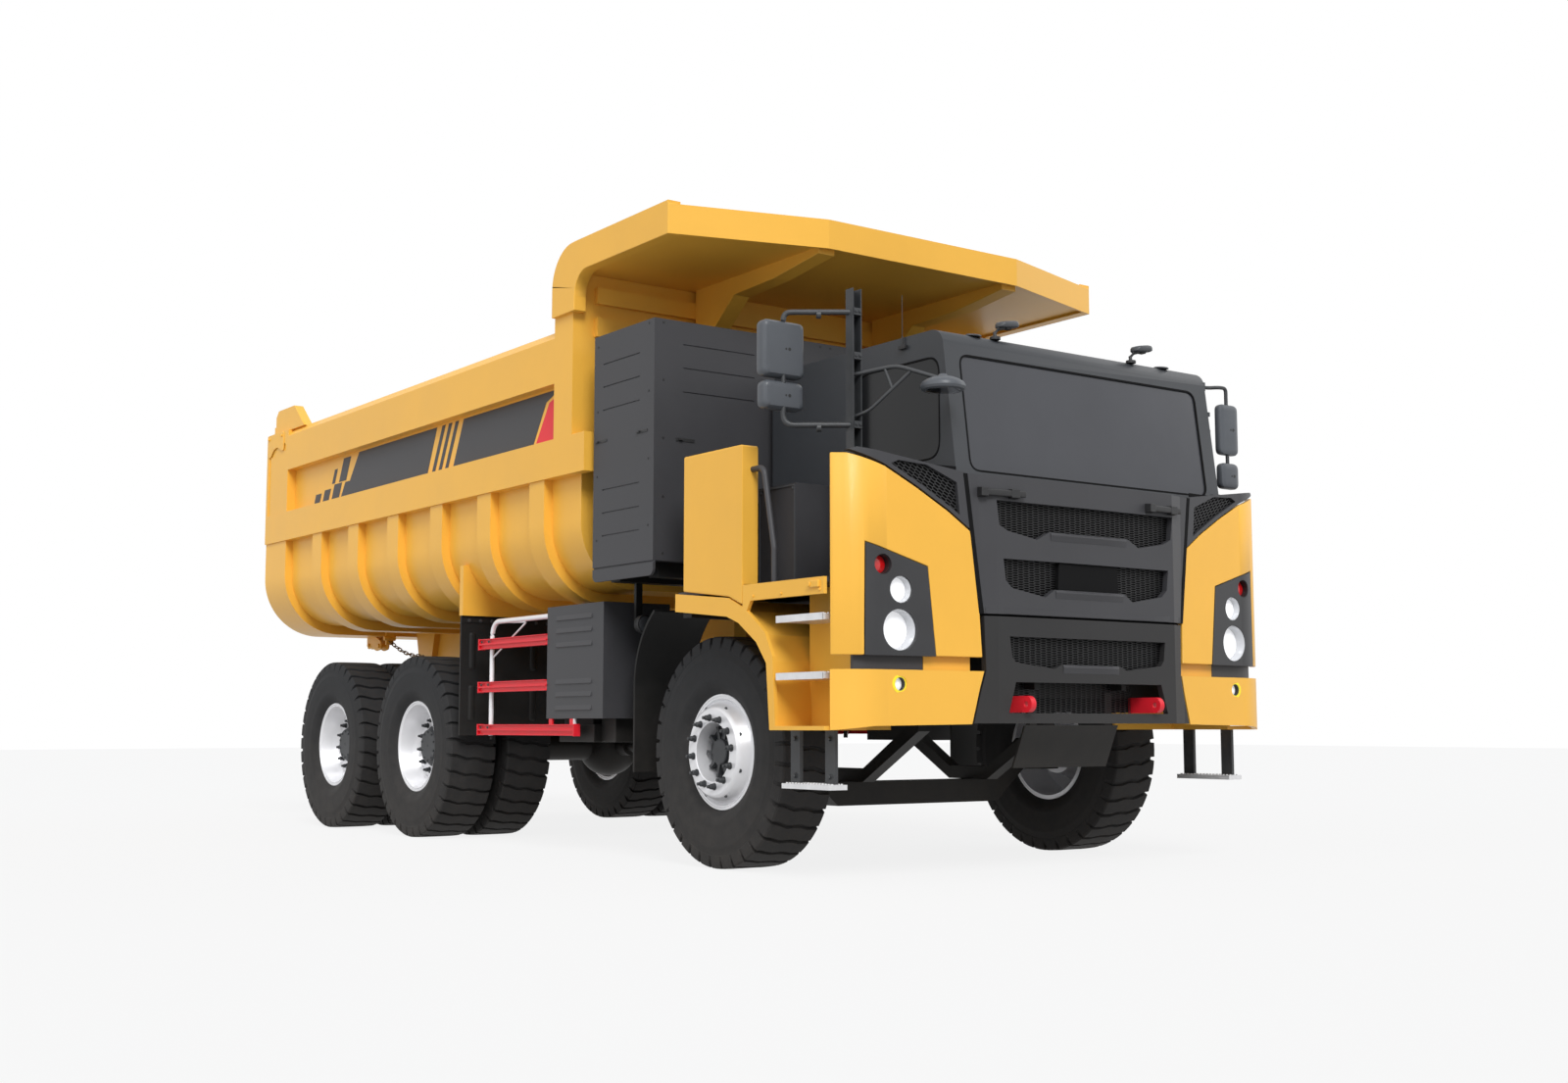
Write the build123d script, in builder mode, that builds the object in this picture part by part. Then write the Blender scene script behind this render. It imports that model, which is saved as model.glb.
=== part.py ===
"""Six-wheel electric mining dump truck, parked, bed down.

X points forward, Y to the truck's left and Z up, in millimetres. The origin is on the
ground, under the middle of the truck. Every place along X is worked out from the front axle.
"""
import os
from math import cos, sin, sqrt, radians

from build123d import *

os.makedirs("parts", exist_ok=True)

# ---------------------------------------------------------------- driving dimensions
front_reach = 1800              # front axle to the noses of the tow hooks
bed_tail_reach = 7680           # front axle to the tail of the bed's floor
gate_gap = 12
gate_thickness = 60
rear_reach = bed_tail_reach + gate_gap + gate_thickness
front_axle_x = (rear_reach - front_reach) / 2
mid_axle_x = front_axle_x - 4196
rear_axle_x = mid_axle_x - 1776

tyre_od = 1495                  # 16.00R25 earthmover tyres
tyre_width = 430
tread_width = 390
axle_z = tyre_od / 2
rim_radius = 375
front_track_half = 1458         # centre plane of a front tyre
dual_outer_half = 1680          # centre planes of the twin rear tyres
dual_inner_half = 1180
running_gap = 6                 # between pieces that move past each other
pin_gap = 1                     # round a pin or a shaft

rail_outer_half = 470           # chassis side members
rail_flange = 90
rail_web = 12
rail_bottom_z = 1020
rail_top_z = 1380
rail_front_x = front_axle_x + 1380
rail_rear_x = front_axle_x - 7080

kingpin_half = 1180             # steering axes
kingpin_radius = 32
knuckle_boss_radius = 85
knuckle_boss_height = 190
spindle_radius = 70

bed_half_width = 1940           # outside the bed's ribs and rails
bed_bottom_z = 1810             # under the ribs
bed_corner_radius = 560
rib_depth = 85
bed_wall = 24
bed_front_x = front_axle_x - 1450
bed_rear_x = front_axle_x - bed_tail_reach
bed_rail_top_z = 3800
canopy_half_width = bed_half_width + 30
canopy_top_z = 4385
canopy_bottom_z = 4155
gooseneck_low_z = 3880          # lap of the canopy's legs on the bed's front posts

deck_z = 1775
body_half_width = 1950          # outside the front corners
fender_half = body_half_width - 50

cab_centre_y = 220              # the cab stands left of the middle
cab_half_width = 1200
cab_rear_x = front_axle_x - 320
cab_wall = 45
cab_floor_z = 1760
cab_roof_z = 3360

bed_pivot_x = front_axle_x - 6900
bed_pivot_z = 1440
bed_pivot_radius = 45
pivot_tube_radius = bed_pivot_radius + 35


def save(part, name):
    """Label a finished piece and write its file."""
    part.label = name
    export_step(part, f"parts/{name}.step")


# ---------------------------------------------------------------- chassis frame
cross_members = [               # place ahead of the front axle, bottom, top
    (1300, 1060, 1340),
    (560, 1180, 1340),
    (-1280, 1060, 1340),
    (-4960, 1060, 1300),
    (-6500, 1060, 1300),
]
cross_member_length = 140
with BuildPart() as frame_rails:
    with BuildSketch(Plane.YZ.offset(rail_rear_x)):
        with Locations((rail_outer_half - rail_flange / 2, (rail_bottom_z + rail_top_z) / 2)):
            Rectangle(rail_flange, rail_top_z - rail_bottom_z)
        with Locations((rail_outer_half - rail_flange / 2 - rail_web, (rail_bottom_z + rail_top_z) / 2)):
            Rectangle(rail_flange, rail_top_z - rail_bottom_z - 2 * rail_web, mode=Mode.SUBTRACT)
    extrude(amount=rail_front_x - rail_rear_x)
    mirror(about=Plane.XZ)
    for ahead, bottom_z, top_z in cross_members:
        with Locations((front_axle_x + ahead, 0, (bottom_z + top_z) / 2)):
            Box(cross_member_length, 2 * (rail_outer_half - rail_web), top_z - bottom_z)
    with Locations((bed_pivot_x, 0, bed_pivot_z)):
        Cylinder(pivot_tube_radius, 2 * rail_outer_half, rotation=(90, 0, 0))
        Cylinder(bed_pivot_radius + pin_gap, 2 * rail_outer_half, rotation=(90, 0, 0), mode=Mode.SUBTRACT)
save(frame_rails.part, "frame_rails")

# ---------------------------------------------------------------- front axle and steering
beam_height = 160
beam_length = 150
beam_low_z = 380
beam_drop_half = 720
beam_boss_z = axle_z
beam_flat_half = kingpin_half - knuckle_boss_radius - 35
with BuildPart() as front_axle:
    with BuildSketch(Plane.YZ.offset(front_axle_x - beam_length / 2)):
        with BuildLine():
            Polyline(
                (0, beam_low_z),
                (beam_drop_half, beam_low_z),
                (beam_flat_half, beam_boss_z - beam_height / 2),
                (kingpin_half, beam_boss_z - beam_height / 2),
                (kingpin_half, beam_boss_z + beam_height / 2),
                (beam_flat_half, beam_boss_z + beam_height / 2),
                (beam_drop_half, beam_low_z + beam_height),
                (0, beam_low_z + beam_height),
                close=True,
            )
        make_face()
    extrude(amount=beam_length)
    with Locations((front_axle_x, kingpin_half, beam_boss_z)):
        Cylinder(knuckle_boss_radius, knuckle_boss_height)
        Hole(kingpin_radius + pin_gap)
    mirror(about=Plane.XZ)
save(front_axle.part, "front_axle")

knuckle_lug_height = 45
knuckle_plate = 60
for side, sign in (("left", 1), ("right", -1)):
    with BuildPart() as knuckle:
        lug_offset = (knuckle_boss_height + knuckle_lug_height) / 2 + running_gap
        plate_inner = kingpin_half + knuckle_boss_radius + running_gap
        for level in (-1, 1):
            with Locations((front_axle_x, sign * kingpin_half, axle_z + level * lug_offset)):
                Cylinder(knuckle_boss_radius, knuckle_lug_height)
            lug_y = sign * (kingpin_half + plate_inner) / 2
            with Locations((front_axle_x, lug_y, axle_z + level * lug_offset)):
                Box(2 * knuckle_boss_radius, plate_inner - kingpin_half, knuckle_lug_height)
        with Locations((front_axle_x, sign * (plate_inner + knuckle_plate / 2), axle_z)):
            Box(
                2 * knuckle_boss_radius,
                knuckle_plate,
                knuckle_boss_height + 2 * (knuckle_lug_height + running_gap),
            )
        with Locations((front_axle_x, sign * kingpin_half, axle_z)):
            Cylinder(kingpin_radius, knuckle_boss_height + 2 * (knuckle_lug_height + running_gap))
        spindle_length = front_track_half + 20 - plate_inner
        with Locations((front_axle_x, sign * (plate_inner + spindle_length / 2), axle_z)):
            Cylinder(spindle_radius, spindle_length, rotation=(90, 0, 0))
    save(knuckle.part, f"knuckle_{side}")

# ---------------------------------------------------------------- wheels
bead_radius = rim_radius - 12
rim_half_width = 160


def tyre_outline(centre):
    """Half section of one tyre about its own centre plane, turned about the axle later."""
    half = tyre_width / 2
    tread = tread_width / 2
    top = tyre_od / 2
    with BuildSketch(Plane.XY, mode=Mode.PRIVATE) as outline:
        with BuildLine():
            Polyline(
                (-150, bead_radius),
                (-150, rim_radius + 1),
                (-rim_half_width - 1, rim_radius + 1),
                (-half + 12, bead_radius + 90),
                (-half, 560),
                (-tread - 8, top - 70),
                (-tread + 12, top - 6),
                (-tread / 2, top),
                (tread / 2, top),
                (tread - 12, top - 6),
                (tread + 8, top - 70),
                (half, 560),
                (half - 12, bead_radius + 90),
                (rim_half_width + 1, rim_radius + 1),
                (150, rim_radius + 1),
                (150, bead_radius),
                close=True,
            )
        make_face()
    return Pos(centre, 0) * outline.sketch


def axle_plane(place_x):
    """A plane through the axle whose x is the truck's Y and whose y is up from the axle."""
    return Plane(origin=(place_x, 0, axle_z), x_dir=(0, 1, 0), z_dir=(1, 0, 0))


wheel_bodies = [                # name, axle place, tyre centres, side
    ("front_left", front_axle_x, (front_track_half,), 1),
    ("front_right", front_axle_x, (front_track_half,), -1),
    ("mid_left", mid_axle_x, (dual_outer_half, dual_inner_half), 1),
    ("mid_right", mid_axle_x, (dual_outer_half, dual_inner_half), -1),
    ("rear_left", rear_axle_x, (dual_outer_half, dual_inner_half), 1),
    ("rear_right", rear_axle_x, (dual_outer_half, dual_inner_half), -1),
]
for name, place_x, centres, sign in wheel_bodies:
    with BuildPart() as tyre:
        for centre in centres:
            with BuildSketch(axle_plane(place_x)):
                add(tyre_outline(sign * centre))
            revolve(axis=Axis((place_x, 0, axle_z), (0, 1, 0)))
    save(tyre.part, f"tyre_{name}")

    with BuildPart() as rim:
        for centre in centres:
            with BuildSketch(axle_plane(place_x)):
                with BuildLine():
                    Polyline(
                        (sign * (centre - rim_half_width), bead_radius - 20),
                        (sign * (centre - rim_half_width), rim_radius),
                        (sign * (centre - 151), rim_radius),
                        (sign * (centre - 151), bead_radius),
                        (sign * (centre + 151), bead_radius),
                        (sign * (centre + 151), rim_radius),
                        (sign * (centre + rim_half_width), rim_radius),
                        (sign * (centre + rim_half_width), bead_radius - 20),
                        close=True,
                    )
                make_face()
            revolve(axis=Axis((place_x, 0, axle_z), (0, 1, 0)))
        outer = centres[0]
        if len(centres) == 1:
            hub = [
                (outer + rim_half_width - 30, bead_radius - 19),
                (outer + 230, 285),
                (outer + 230, 190),
                (outer + 130, 185),
                (outer + 130, spindle_radius - 20),
                (outer + 40, spindle_radius - 20),
                (outer + 40, spindle_radius + pin_gap),
                (outer - 60, spindle_radius + pin_gap),
                (outer - 60, 180),
                (outer + 90, 215),
                (outer + 205, 270),
                (outer + rim_half_width - 60, bead_radius - 19),
            ]
        else:
            hub = [
                (outer + 60, bead_radius - 19),
                (outer + 20, 285),
                (outer + 20, 170),
                (outer + 60, 160),
                (outer + 60, 0),
                (outer + 30, 0),
                (outer + 30, spindle_radius + pin_gap),
                (dual_inner_half - 120, spindle_radius + pin_gap),
                (dual_inner_half - 120, 180),
                (dual_inner_half + 60, 200),
                (dual_inner_half + 100, bead_radius - 19),
                (dual_inner_half + 130, bead_radius - 19),
                (outer - 120, 230),
                (outer - 4, 285),
                (outer + 36, bead_radius - 19),
            ]
        with BuildSketch(axle_plane(place_x)):
            with BuildLine():
                Polyline(*[(sign * y, r) for y, r in hub], close=True)
            make_face()
        revolve(axis=Axis((place_x, 0, axle_z), (0, 1, 0)))
    save(rim.part, f"rim_{name}")

# ---------------------------------------------------------------- rear axles
housing_radius = 130
housing_half = dual_inner_half - 130
bowl_radius = 270
with BuildPart() as drive_axles:
    for place_x in (mid_axle_x, rear_axle_x):
        with Locations((place_x, 0, axle_z)):
            Cylinder(housing_radius, 2 * housing_half - 2 * running_gap, rotation=(90, 0, 0))
            Cylinder(spindle_radius, 2 * (dual_outer_half + 20), rotation=(90, 0, 0))
            Sphere(bowl_radius)
        with Locations((place_x + bowl_radius, 0, axle_z)):
            Cylinder(90, 260, rotation=(0, 90, 0))
save(drive_axles.part, "drive_axles")

# ---------------------------------------------------------------- springs, drive and hoist brackets
front_spring_half = 560
spring_width = 100
leaf_stack = 90
spring_reach = 780
tandem_mid_x = (mid_axle_x + rear_axle_x) / 2
rear_spring_half = 640
rear_leaf_top_z = 1010


def spring_pack(outline_points, half_y):
    """A leaf spring with its hangers, left and right, from its side view."""
    with BuildPart(mode=Mode.PRIVATE) as pack:
        with BuildSketch(Plane.XZ.offset(-(half_y - spring_width / 2))):
            with BuildLine():
                Polyline(*outline_points, close=True)
            make_face()
        extrude(amount=-spring_width)
        mirror(about=Plane.XZ)
    return pack.part


axle_seat_z = beam_low_z + beam_height
hanger = 110
hanger_z = 915
tandem_seat_z = axle_z + housing_radius
with BuildPart() as leaf_springs:
    add(spring_pack([
        (front_axle_x - spring_reach, 880),
        (front_axle_x - 200, axle_seat_z),
        (front_axle_x + 200, axle_seat_z),
        (front_axle_x + spring_reach, 880),
        (front_axle_x + spring_reach, rail_bottom_z),
        (front_axle_x + spring_reach - hanger, rail_bottom_z),
        (front_axle_x + spring_reach - hanger, hanger_z),
        (front_axle_x + 200, axle_seat_z + leaf_stack),
        (front_axle_x - 200, axle_seat_z + leaf_stack),
        (front_axle_x - spring_reach + hanger, hanger_z),
        (front_axle_x - spring_reach + hanger, rail_bottom_z),
        (front_axle_x - spring_reach, rail_bottom_z),
    ], front_spring_half))
    add(spring_pack([
        (mid_axle_x + 90, tandem_seat_z),
        (mid_axle_x + 90, tandem_seat_z + 45),
        (tandem_mid_x + 260, rear_leaf_top_z),
        (tandem_mid_x + 260, rail_top_z - 180),
        (tandem_mid_x - 260, rail_top_z - 180),
        (tandem_mid_x - 260, rear_leaf_top_z),
        (rear_axle_x - 90, tandem_seat_z + 45),
        (rear_axle_x - 90, tandem_seat_z),
        (rear_axle_x + 120, tandem_seat_z),
        (tandem_mid_x - 200, rear_leaf_top_z - 240),
        (tandem_mid_x + 200, rear_leaf_top_z - 240),
        (mid_axle_x - 120, tandem_seat_z),
    ], rear_spring_half))
    for sign in (-1, 1):
        for x in (front_axle_x + spring_reach - hanger / 2, front_axle_x - spring_reach + hanger / 2):
            with Locations((x, sign * (rail_outer_half + front_spring_half + spring_width / 2) / 2,
                            rail_bottom_z + 60)):
                Box(hanger, front_spring_half + spring_width / 2 - rail_outer_half, 120)
        with Locations((tandem_mid_x, sign * (rear_spring_half - spring_width / 2 + rail_outer_half) / 2,
                        rail_top_z - 260)):
            Box(300, rear_spring_half - spring_width / 2 - rail_outer_half, 160)
save(leaf_springs.part, "leaf_springs")

motor_front_x = front_axle_x - 1500
motor_length = 1050
motor_z = 600
shaft_radius = 60
shaft_runs = [                  # from, to
    (motor_front_x - motor_length, mid_axle_x + bowl_radius + 130),
    (mid_axle_x - bowl_radius - 2, rear_axle_x + bowl_radius + 130),
]
with BuildPart() as driveline:
    with Locations((motor_front_x - motor_length / 2, 0, motor_z)):
        Box(motor_length, 560, 420)
    for sign in (-1, 1):
        for x in (motor_front_x - 90, motor_front_x - motor_length + 120):
            with Locations((x, sign * 330, motor_z + 100)):
                Box(90, 200, 220)
            with Locations((x, sign * 410, (motor_z + rail_bottom_z) / 2)):
                Box(90, 60, rail_bottom_z - motor_z)
    for start_x, end_x in shaft_runs:
        with Locations(((start_x + end_x) / 2, 0, axle_z)):
            Cylinder(shaft_radius, start_x - end_x, rotation=(0, 90, 0))
save(driveline.part, "driveline")

# ---------------------------------------------------------------- dump bed
rib_width = 230
rib_pitch = 866
first_rib_x = front_axle_x - 1992
rib_count = 6
rear_ring_length = 545
side_rail_bottom_z = 2710
side_rail_top_z = 2990
top_rail_bottom_z = 3400
tub_half_width = bed_half_width - rib_depth
tub_bottom_z = bed_bottom_z + rib_depth
tub_corner_radius = bed_corner_radius - rib_depth


def trough(half_width, bottom_z, corner_radius, top_z):
    """Cross section of a straight-sided trough filled solid."""
    with BuildSketch(mode=Mode.PRIVATE) as outline:
        with BuildLine():
            Polyline(
                (-half_width, top_z),
                (-half_width, bottom_z),
                (half_width, bottom_z),
                (half_width, top_z),
                close=True,
            )
        make_face()
        fillet(outline.vertices().group_by(Axis.Y)[0], corner_radius)
    return outline.sketch


bed_front_wall_top_z = canopy_bottom_z + 20
band_depth = 50
band_heights = ((3720, 3860), (3960, 4080))
with BuildPart() as bed_tub:
    with BuildSketch(Plane.YZ.offset(bed_rear_x)):
        add(trough(tub_half_width, tub_bottom_z, tub_corner_radius, bed_rail_top_z))
        add(trough(tub_half_width - bed_wall, tub_bottom_z + bed_wall, tub_corner_radius - bed_wall,
                   bed_rail_top_z), mode=Mode.SUBTRACT)
    extrude(amount=bed_front_x - bed_rear_x)
    with BuildSketch(Plane.YZ.offset(bed_front_x)):
        add(trough(tub_half_width, tub_bottom_z, tub_corner_radius, bed_front_wall_top_z))
    extrude(amount=-2 * bed_wall)
    # bands across the front wall
    for low_z, high_z in band_heights:
        with Locations((bed_front_x + band_depth / 2, 0, (low_z + high_z) / 2)):
            Box(band_depth, 2 * (tub_half_width - 90), high_z - low_z)
save(bed_tub.part, "bed_tub")

rib_runs = [(first_rib_x - rib_width / 2 - rib_pitch * index, rib_width) for index in range(rib_count)]
rib_runs.append((bed_rear_x, rear_ring_length))
with BuildPart() as bed_ribs:
    for start_x, width in rib_runs:
        with BuildSketch(Plane.YZ.offset(start_x)):
            add(trough(bed_half_width - 15, bed_bottom_z, bed_corner_radius, side_rail_bottom_z))
            add(
                trough(tub_half_width, tub_bottom_z, tub_corner_radius, side_rail_bottom_z),
                mode=Mode.SUBTRACT,
            )
        extrude(amount=width)
save(bed_ribs.part, "bed_ribs")

gate_hinge_x = bed_rear_x + 220
gate_hinge_z = 3970
gate_hinge_radius = 30
gate_arm_half = tub_half_width - 60
gate_arm_width = 50
side_rail_front_x = front_axle_x - 1270
front_post_rear_x = front_axle_x - 1720
top_rail_rear_x = bed_rear_x + 580
with BuildPart() as bed_rails:
    with BuildSketch(Plane.YZ.offset(bed_rear_x)):
        with Locations(((tub_half_width + bed_half_width) / 2, (side_rail_bottom_z + side_rail_top_z) / 2)):
            Rectangle(bed_half_width - tub_half_width, side_rail_top_z - side_rail_bottom_z)
    extrude(amount=side_rail_front_x - bed_rear_x)
    with BuildSketch(Plane.YZ.offset(top_rail_rear_x)):
        with BuildLine():
            Polyline(
                (tub_half_width, top_rail_bottom_z),
                (bed_half_width, top_rail_bottom_z),
                (bed_half_width, bed_rail_top_z - 65),
                (tub_half_width + 30, bed_rail_top_z),
                (tub_half_width, bed_rail_top_z),
                close=True,
            )
        make_face()
    extrude(amount=front_post_rear_x - top_rail_rear_x)
    rear_post_length = top_rail_rear_x - bed_rear_x
    with Locations((bed_rear_x + rear_post_length / 2, (tub_half_width + bed_half_width) / 2,
                    (side_rail_top_z + bed_rail_top_z) / 2)):
        Box(rear_post_length, bed_half_width - tub_half_width, bed_rail_top_z - side_rail_top_z)
    with Locations(((bed_front_x + front_post_rear_x) / 2, (tub_half_width + bed_half_width) / 2,
                    (side_rail_top_z + gooseneck_low_z) / 2)):
        Box(
            bed_front_x - front_post_rear_x,
            bed_half_width - tub_half_width,
            gooseneck_low_z - side_rail_top_z,
        )
    # face of the rear post, set back under an arched edge
    with BuildSketch(Plane.XZ.offset(-(bed_half_width - 8))):
        with BuildLine():
            Polyline(
                (top_rail_rear_x - 60, 3660),
                (top_rail_rear_x - 60, side_rail_top_z),
                (bed_rear_x + 60, side_rail_top_z),
                (bed_rear_x + 60, 3600),
            )
            ThreePointArc(
                (bed_rear_x + 60, 3600),
                (bed_rear_x + rear_post_length / 2, 3690),
                (top_rail_rear_x - 60, 3660),
            )
        make_face()
    extrude(amount=-60, mode=Mode.SUBTRACT)
    # brackets for the tailgate's hinges
    with BuildSketch(Plane.XZ.offset(-(gate_arm_half + gate_arm_width / 2 + running_gap))):
        with BuildLine():
            Polyline(
                (gate_hinge_x - 60, bed_rail_top_z),
                (gate_hinge_x - 60, gate_hinge_z),
                (gate_hinge_x, gate_hinge_z + 60),
                (gate_hinge_x + 420, gate_hinge_z + 60),
                (gate_hinge_x + 700, bed_rail_top_z),
                close=True,
            )
        make_face()
    extrude(amount=-90)
    with Locations((gate_hinge_x, gate_arm_half + 35, gate_hinge_z)):
        Cylinder(gate_hinge_radius, 140, rotation=(90, 0, 0))
    mirror(about=Plane.XZ)
save(bed_rails.part, "bed_rails")

# sub-frame under the bed floor, with the pivot lugs at its tail
sub_beam_half = 430
sub_beam_width = 110
hoist_eye_x = front_axle_x - 5200
hoist_eye_z = 1600
hoist_half = 215
hoist_pin_radius = 32
eye_radius = 70
eye_width = 90
hoist_pin_reach = eye_width / 2 + 28
cheek = 24
cheek_offset = hoist_pin_reach + running_gap + cheek / 2
pivot_lug_radius = 110
lug_inner = sub_beam_half + sub_beam_width / 2
lug_width = 60
sub_beam_low_z = rail_top_z + 10
sub_beam_front_x = bed_front_x - 60
sub_beam_rear_x = bed_pivot_x + pivot_tube_radius + 30
flap_x = front_axle_x - 3350
flap_top_z = 1790
flap_outer = tub_half_width + 10
flap_inner = flap_outer - 950
with BuildPart() as bed_subframe:
    for sign in (-1, 1):
        with Locations(((sub_beam_front_x + sub_beam_rear_x) / 2, sign * sub_beam_half,
                        (sub_beam_low_z + tub_bottom_z) / 2)):
            Box(sub_beam_front_x - sub_beam_rear_x, sub_beam_width, tub_bottom_z - sub_beam_low_z)
    for sign in (-1, 1):
        with BuildSketch(Plane.XZ.offset(-sign * lug_inner)):
            with BuildLine():
                Polyline(
                    (bed_pivot_x - pivot_lug_radius, bed_pivot_z),
                    (bed_pivot_x - pivot_lug_radius - 120, tub_bottom_z),
                    (bed_pivot_x + pivot_lug_radius + 120, tub_bottom_z),
                    (bed_pivot_x + pivot_lug_radius, bed_pivot_z),
                    close=True,
                )
            make_face()
            with Locations((bed_pivot_x, bed_pivot_z)):
                Circle(pivot_lug_radius)
        extrude(amount=-sign * lug_width)
    with Locations((bed_pivot_x, 0, bed_pivot_z)):
        Cylinder(bed_pivot_radius, 2 * (lug_inner + lug_width), rotation=(90, 0, 0))
    # cross beam over the hoist rods' eyes, with cheeks beside the ends of their pins
    with Locations((hoist_eye_x, 0, (hoist_eye_z + 100 + tub_bottom_z) / 2)):
        Box(160, 2 * sub_beam_half - sub_beam_width, tub_bottom_z - hoist_eye_z - 100)
    for y in (hoist_half - cheek_offset, hoist_half + cheek_offset):
        for sign in (-1, 1):
            with BuildSketch(Plane.XZ.offset(-sign * (y - cheek / 2))):
                with Locations((hoist_eye_x, hoist_eye_z)):
                    Circle(eye_radius)
                with Locations((hoist_eye_x, (hoist_eye_z + tub_bottom_z) / 2)):
                    Rectangle(2 * eye_radius, tub_bottom_z - hoist_eye_z)
            extrude(amount=-sign * cheek)
    # hangers for the mudflaps ahead of the rear wheels
    for sign in (-1, 1):
        with Locations((flap_x, sign * (flap_inner + flap_outer) / 2, flap_top_z + 200)):
            Box(60, flap_outer - flap_inner, 400)
    with BuildSketch(Plane.YZ.offset(flap_x - 60)):
        add(trough(tub_half_width, tub_bottom_z, tub_corner_radius, bed_rail_top_z))
    extrude(amount=120, mode=Mode.SUBTRACT)
    # the ribs keep their own space
    for start_x, width in rib_runs:
        with BuildSketch(Plane.YZ.offset(start_x)):
            add(trough(bed_half_width - 15, bed_bottom_z, bed_corner_radius, side_rail_bottom_z))
        extrude(amount=width, mode=Mode.SUBTRACT)
save(bed_subframe.part, "bed_subframe")

# ---------------------------------------------------------------- canopy over the cab
lip_corner_x = front_axle_x - 130
lip_nose_x = front_axle_x + 195
lip_break_half = 876
plate = 20
canopy_side_depth = 100
canopy_plate_z = canopy_bottom_z + plate
gooseneck_outer_radius = 300
gooseneck_inner_radius = 170
canopy_beam_half = 850
canopy_beam_width = 140
canopy_gusset_low_z = 3680
gooseneck_width = 335
with BuildPart() as canopy:
    with BuildSketch(Plane.XY.offset(canopy_plate_z)):
        with BuildLine():
            Polyline(
                (bed_front_x - 2 * bed_wall, -canopy_half_width + 20),
                (lip_corner_x, -canopy_half_width + 20),
                (lip_nose_x, -lip_break_half),
                (lip_nose_x, lip_break_half),
                (lip_corner_x, canopy_half_width - 20),
                (bed_front_x - 2 * bed_wall, canopy_half_width - 20),
                close=True,
            )
        make_face()
    extrude(amount=plate)
    with BuildSketch(Plane.XY.offset(canopy_bottom_z)):
        with BuildLine():
            Polyline(
                (lip_corner_x, -canopy_half_width),
                (lip_nose_x, -lip_break_half),
                (lip_nose_x, lip_break_half),
                (lip_corner_x, canopy_half_width),
                (lip_corner_x - plate, canopy_half_width),
                (lip_nose_x - plate, lip_break_half),
                (lip_nose_x - plate, -lip_break_half),
                (lip_corner_x - plate, -canopy_half_width),
                close=True,
            )
        make_face()
    extrude(amount=canopy_top_z - 25 - canopy_bottom_z)
    neck_front_x = front_post_rear_x + gooseneck_width
    for sign in (-1, 1):
        with BuildSketch(Plane.XZ.offset(-sign * (canopy_half_width - canopy_side_depth))):
            with BuildLine():
                Polyline(
                    (neck_front_x + gooseneck_inner_radius, canopy_bottom_z),
                    (lip_corner_x, canopy_bottom_z),
                    (lip_corner_x, canopy_top_z),
                    (front_post_rear_x, canopy_top_z),
                    (front_post_rear_x, gooseneck_low_z),
                    (neck_front_x, gooseneck_low_z),
                    (neck_front_x, canopy_bottom_z - gooseneck_inner_radius),
                )
                RadiusArc(
                    (neck_front_x, canopy_bottom_z - gooseneck_inner_radius),
                    (neck_front_x + gooseneck_inner_radius, canopy_bottom_z),
                    gooseneck_inner_radius,
                )
            make_face()
        extrude(amount=-sign * canopy_side_depth)
        # beam under the plate, with a gusset down to the bed's front wall
        with BuildSketch(Plane.XZ.offset(-sign * (canopy_beam_half - canopy_beam_width / 2))):
            with BuildLine():
                Polyline(
                    (bed_front_x + band_depth, canopy_plate_z + 5),
                    (lip_nose_x - 60, canopy_plate_z + 5),
                    (lip_nose_x - 60, canopy_plate_z - 45),
                    (lip_corner_x - 250, canopy_plate_z - 110),
                    (bed_front_x + 560, canopy_plate_z - 130),
                    (bed_front_x + band_depth + 40, canopy_gusset_low_z),
                    (bed_front_x + band_depth, canopy_gusset_low_z),
                    close=True,
                )
            make_face()
        extrude(amount=-sign * canopy_beam_width)
    cross_edges = canopy.edges().filter_by(Axis.Y)
    rear_edges = cross_edges.filter_by_position(Axis.X, front_post_rear_x - 1, front_post_rear_x + 1)
    fillet(rear_edges.filter_by_position(Axis.Z, canopy_top_z - 1, canopy_top_z + 1), gooseneck_outer_radius)
save(canopy.part, "canopy")

# ---------------------------------------------------------------- tailgate
gate_half_width = tub_half_width - 10
gate_front_x = bed_rear_x - gate_gap
gate_pocket = 32
gate_pocket_rows = (            # bottom, top, half width of the row
    (2080, 2480, 1250),
    (2600, 3080, 1700),
    (3200, 3680, 1700),
)
with BuildPart() as tailgate:
    with BuildSketch(Plane.YZ.offset(gate_front_x)):
        add(trough(gate_half_width, tub_bottom_z - 10, tub_corner_radius, gate_hinge_z - 60))
    extrude(amount=-gate_thickness)
    with BuildSketch(Plane.YZ.offset(gate_front_x - gate_thickness)):
        for low_z, high_z, half_row in gate_pocket_rows:
            with Locations((0, (low_z + high_z) / 2)):
                with GridLocations(2 * half_row / 3, 0, 3, 1):
                    Rectangle(2 * half_row / 3 - 110, high_z - low_z)
    extrude(amount=gate_pocket, mode=Mode.SUBTRACT)
    for sign in (-1, 1):
        with BuildSketch(Plane.XZ.offset(-sign * (gate_arm_half - gate_arm_width / 2))):
            with BuildLine():
                Polyline(
                    (gate_front_x, gate_hinge_z - 200),
                    (gate_front_x - gate_thickness, gate_hinge_z - 200),
                    (gate_front_x - gate_thickness, gate_hinge_z - 20),
                    (gate_hinge_x, gate_hinge_z + 60),
                    (gate_hinge_x, gate_hinge_z - 60),
                    (gate_front_x, gate_hinge_z - 100),
                    close=True,
                )
            make_face()
            with Locations((gate_hinge_x, gate_hinge_z)):
                Circle(60)
                Circle(gate_hinge_radius + pin_gap, mode=Mode.SUBTRACT)
        extrude(amount=-sign * gate_arm_width)
save(tailgate.part, "tailgate")

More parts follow.
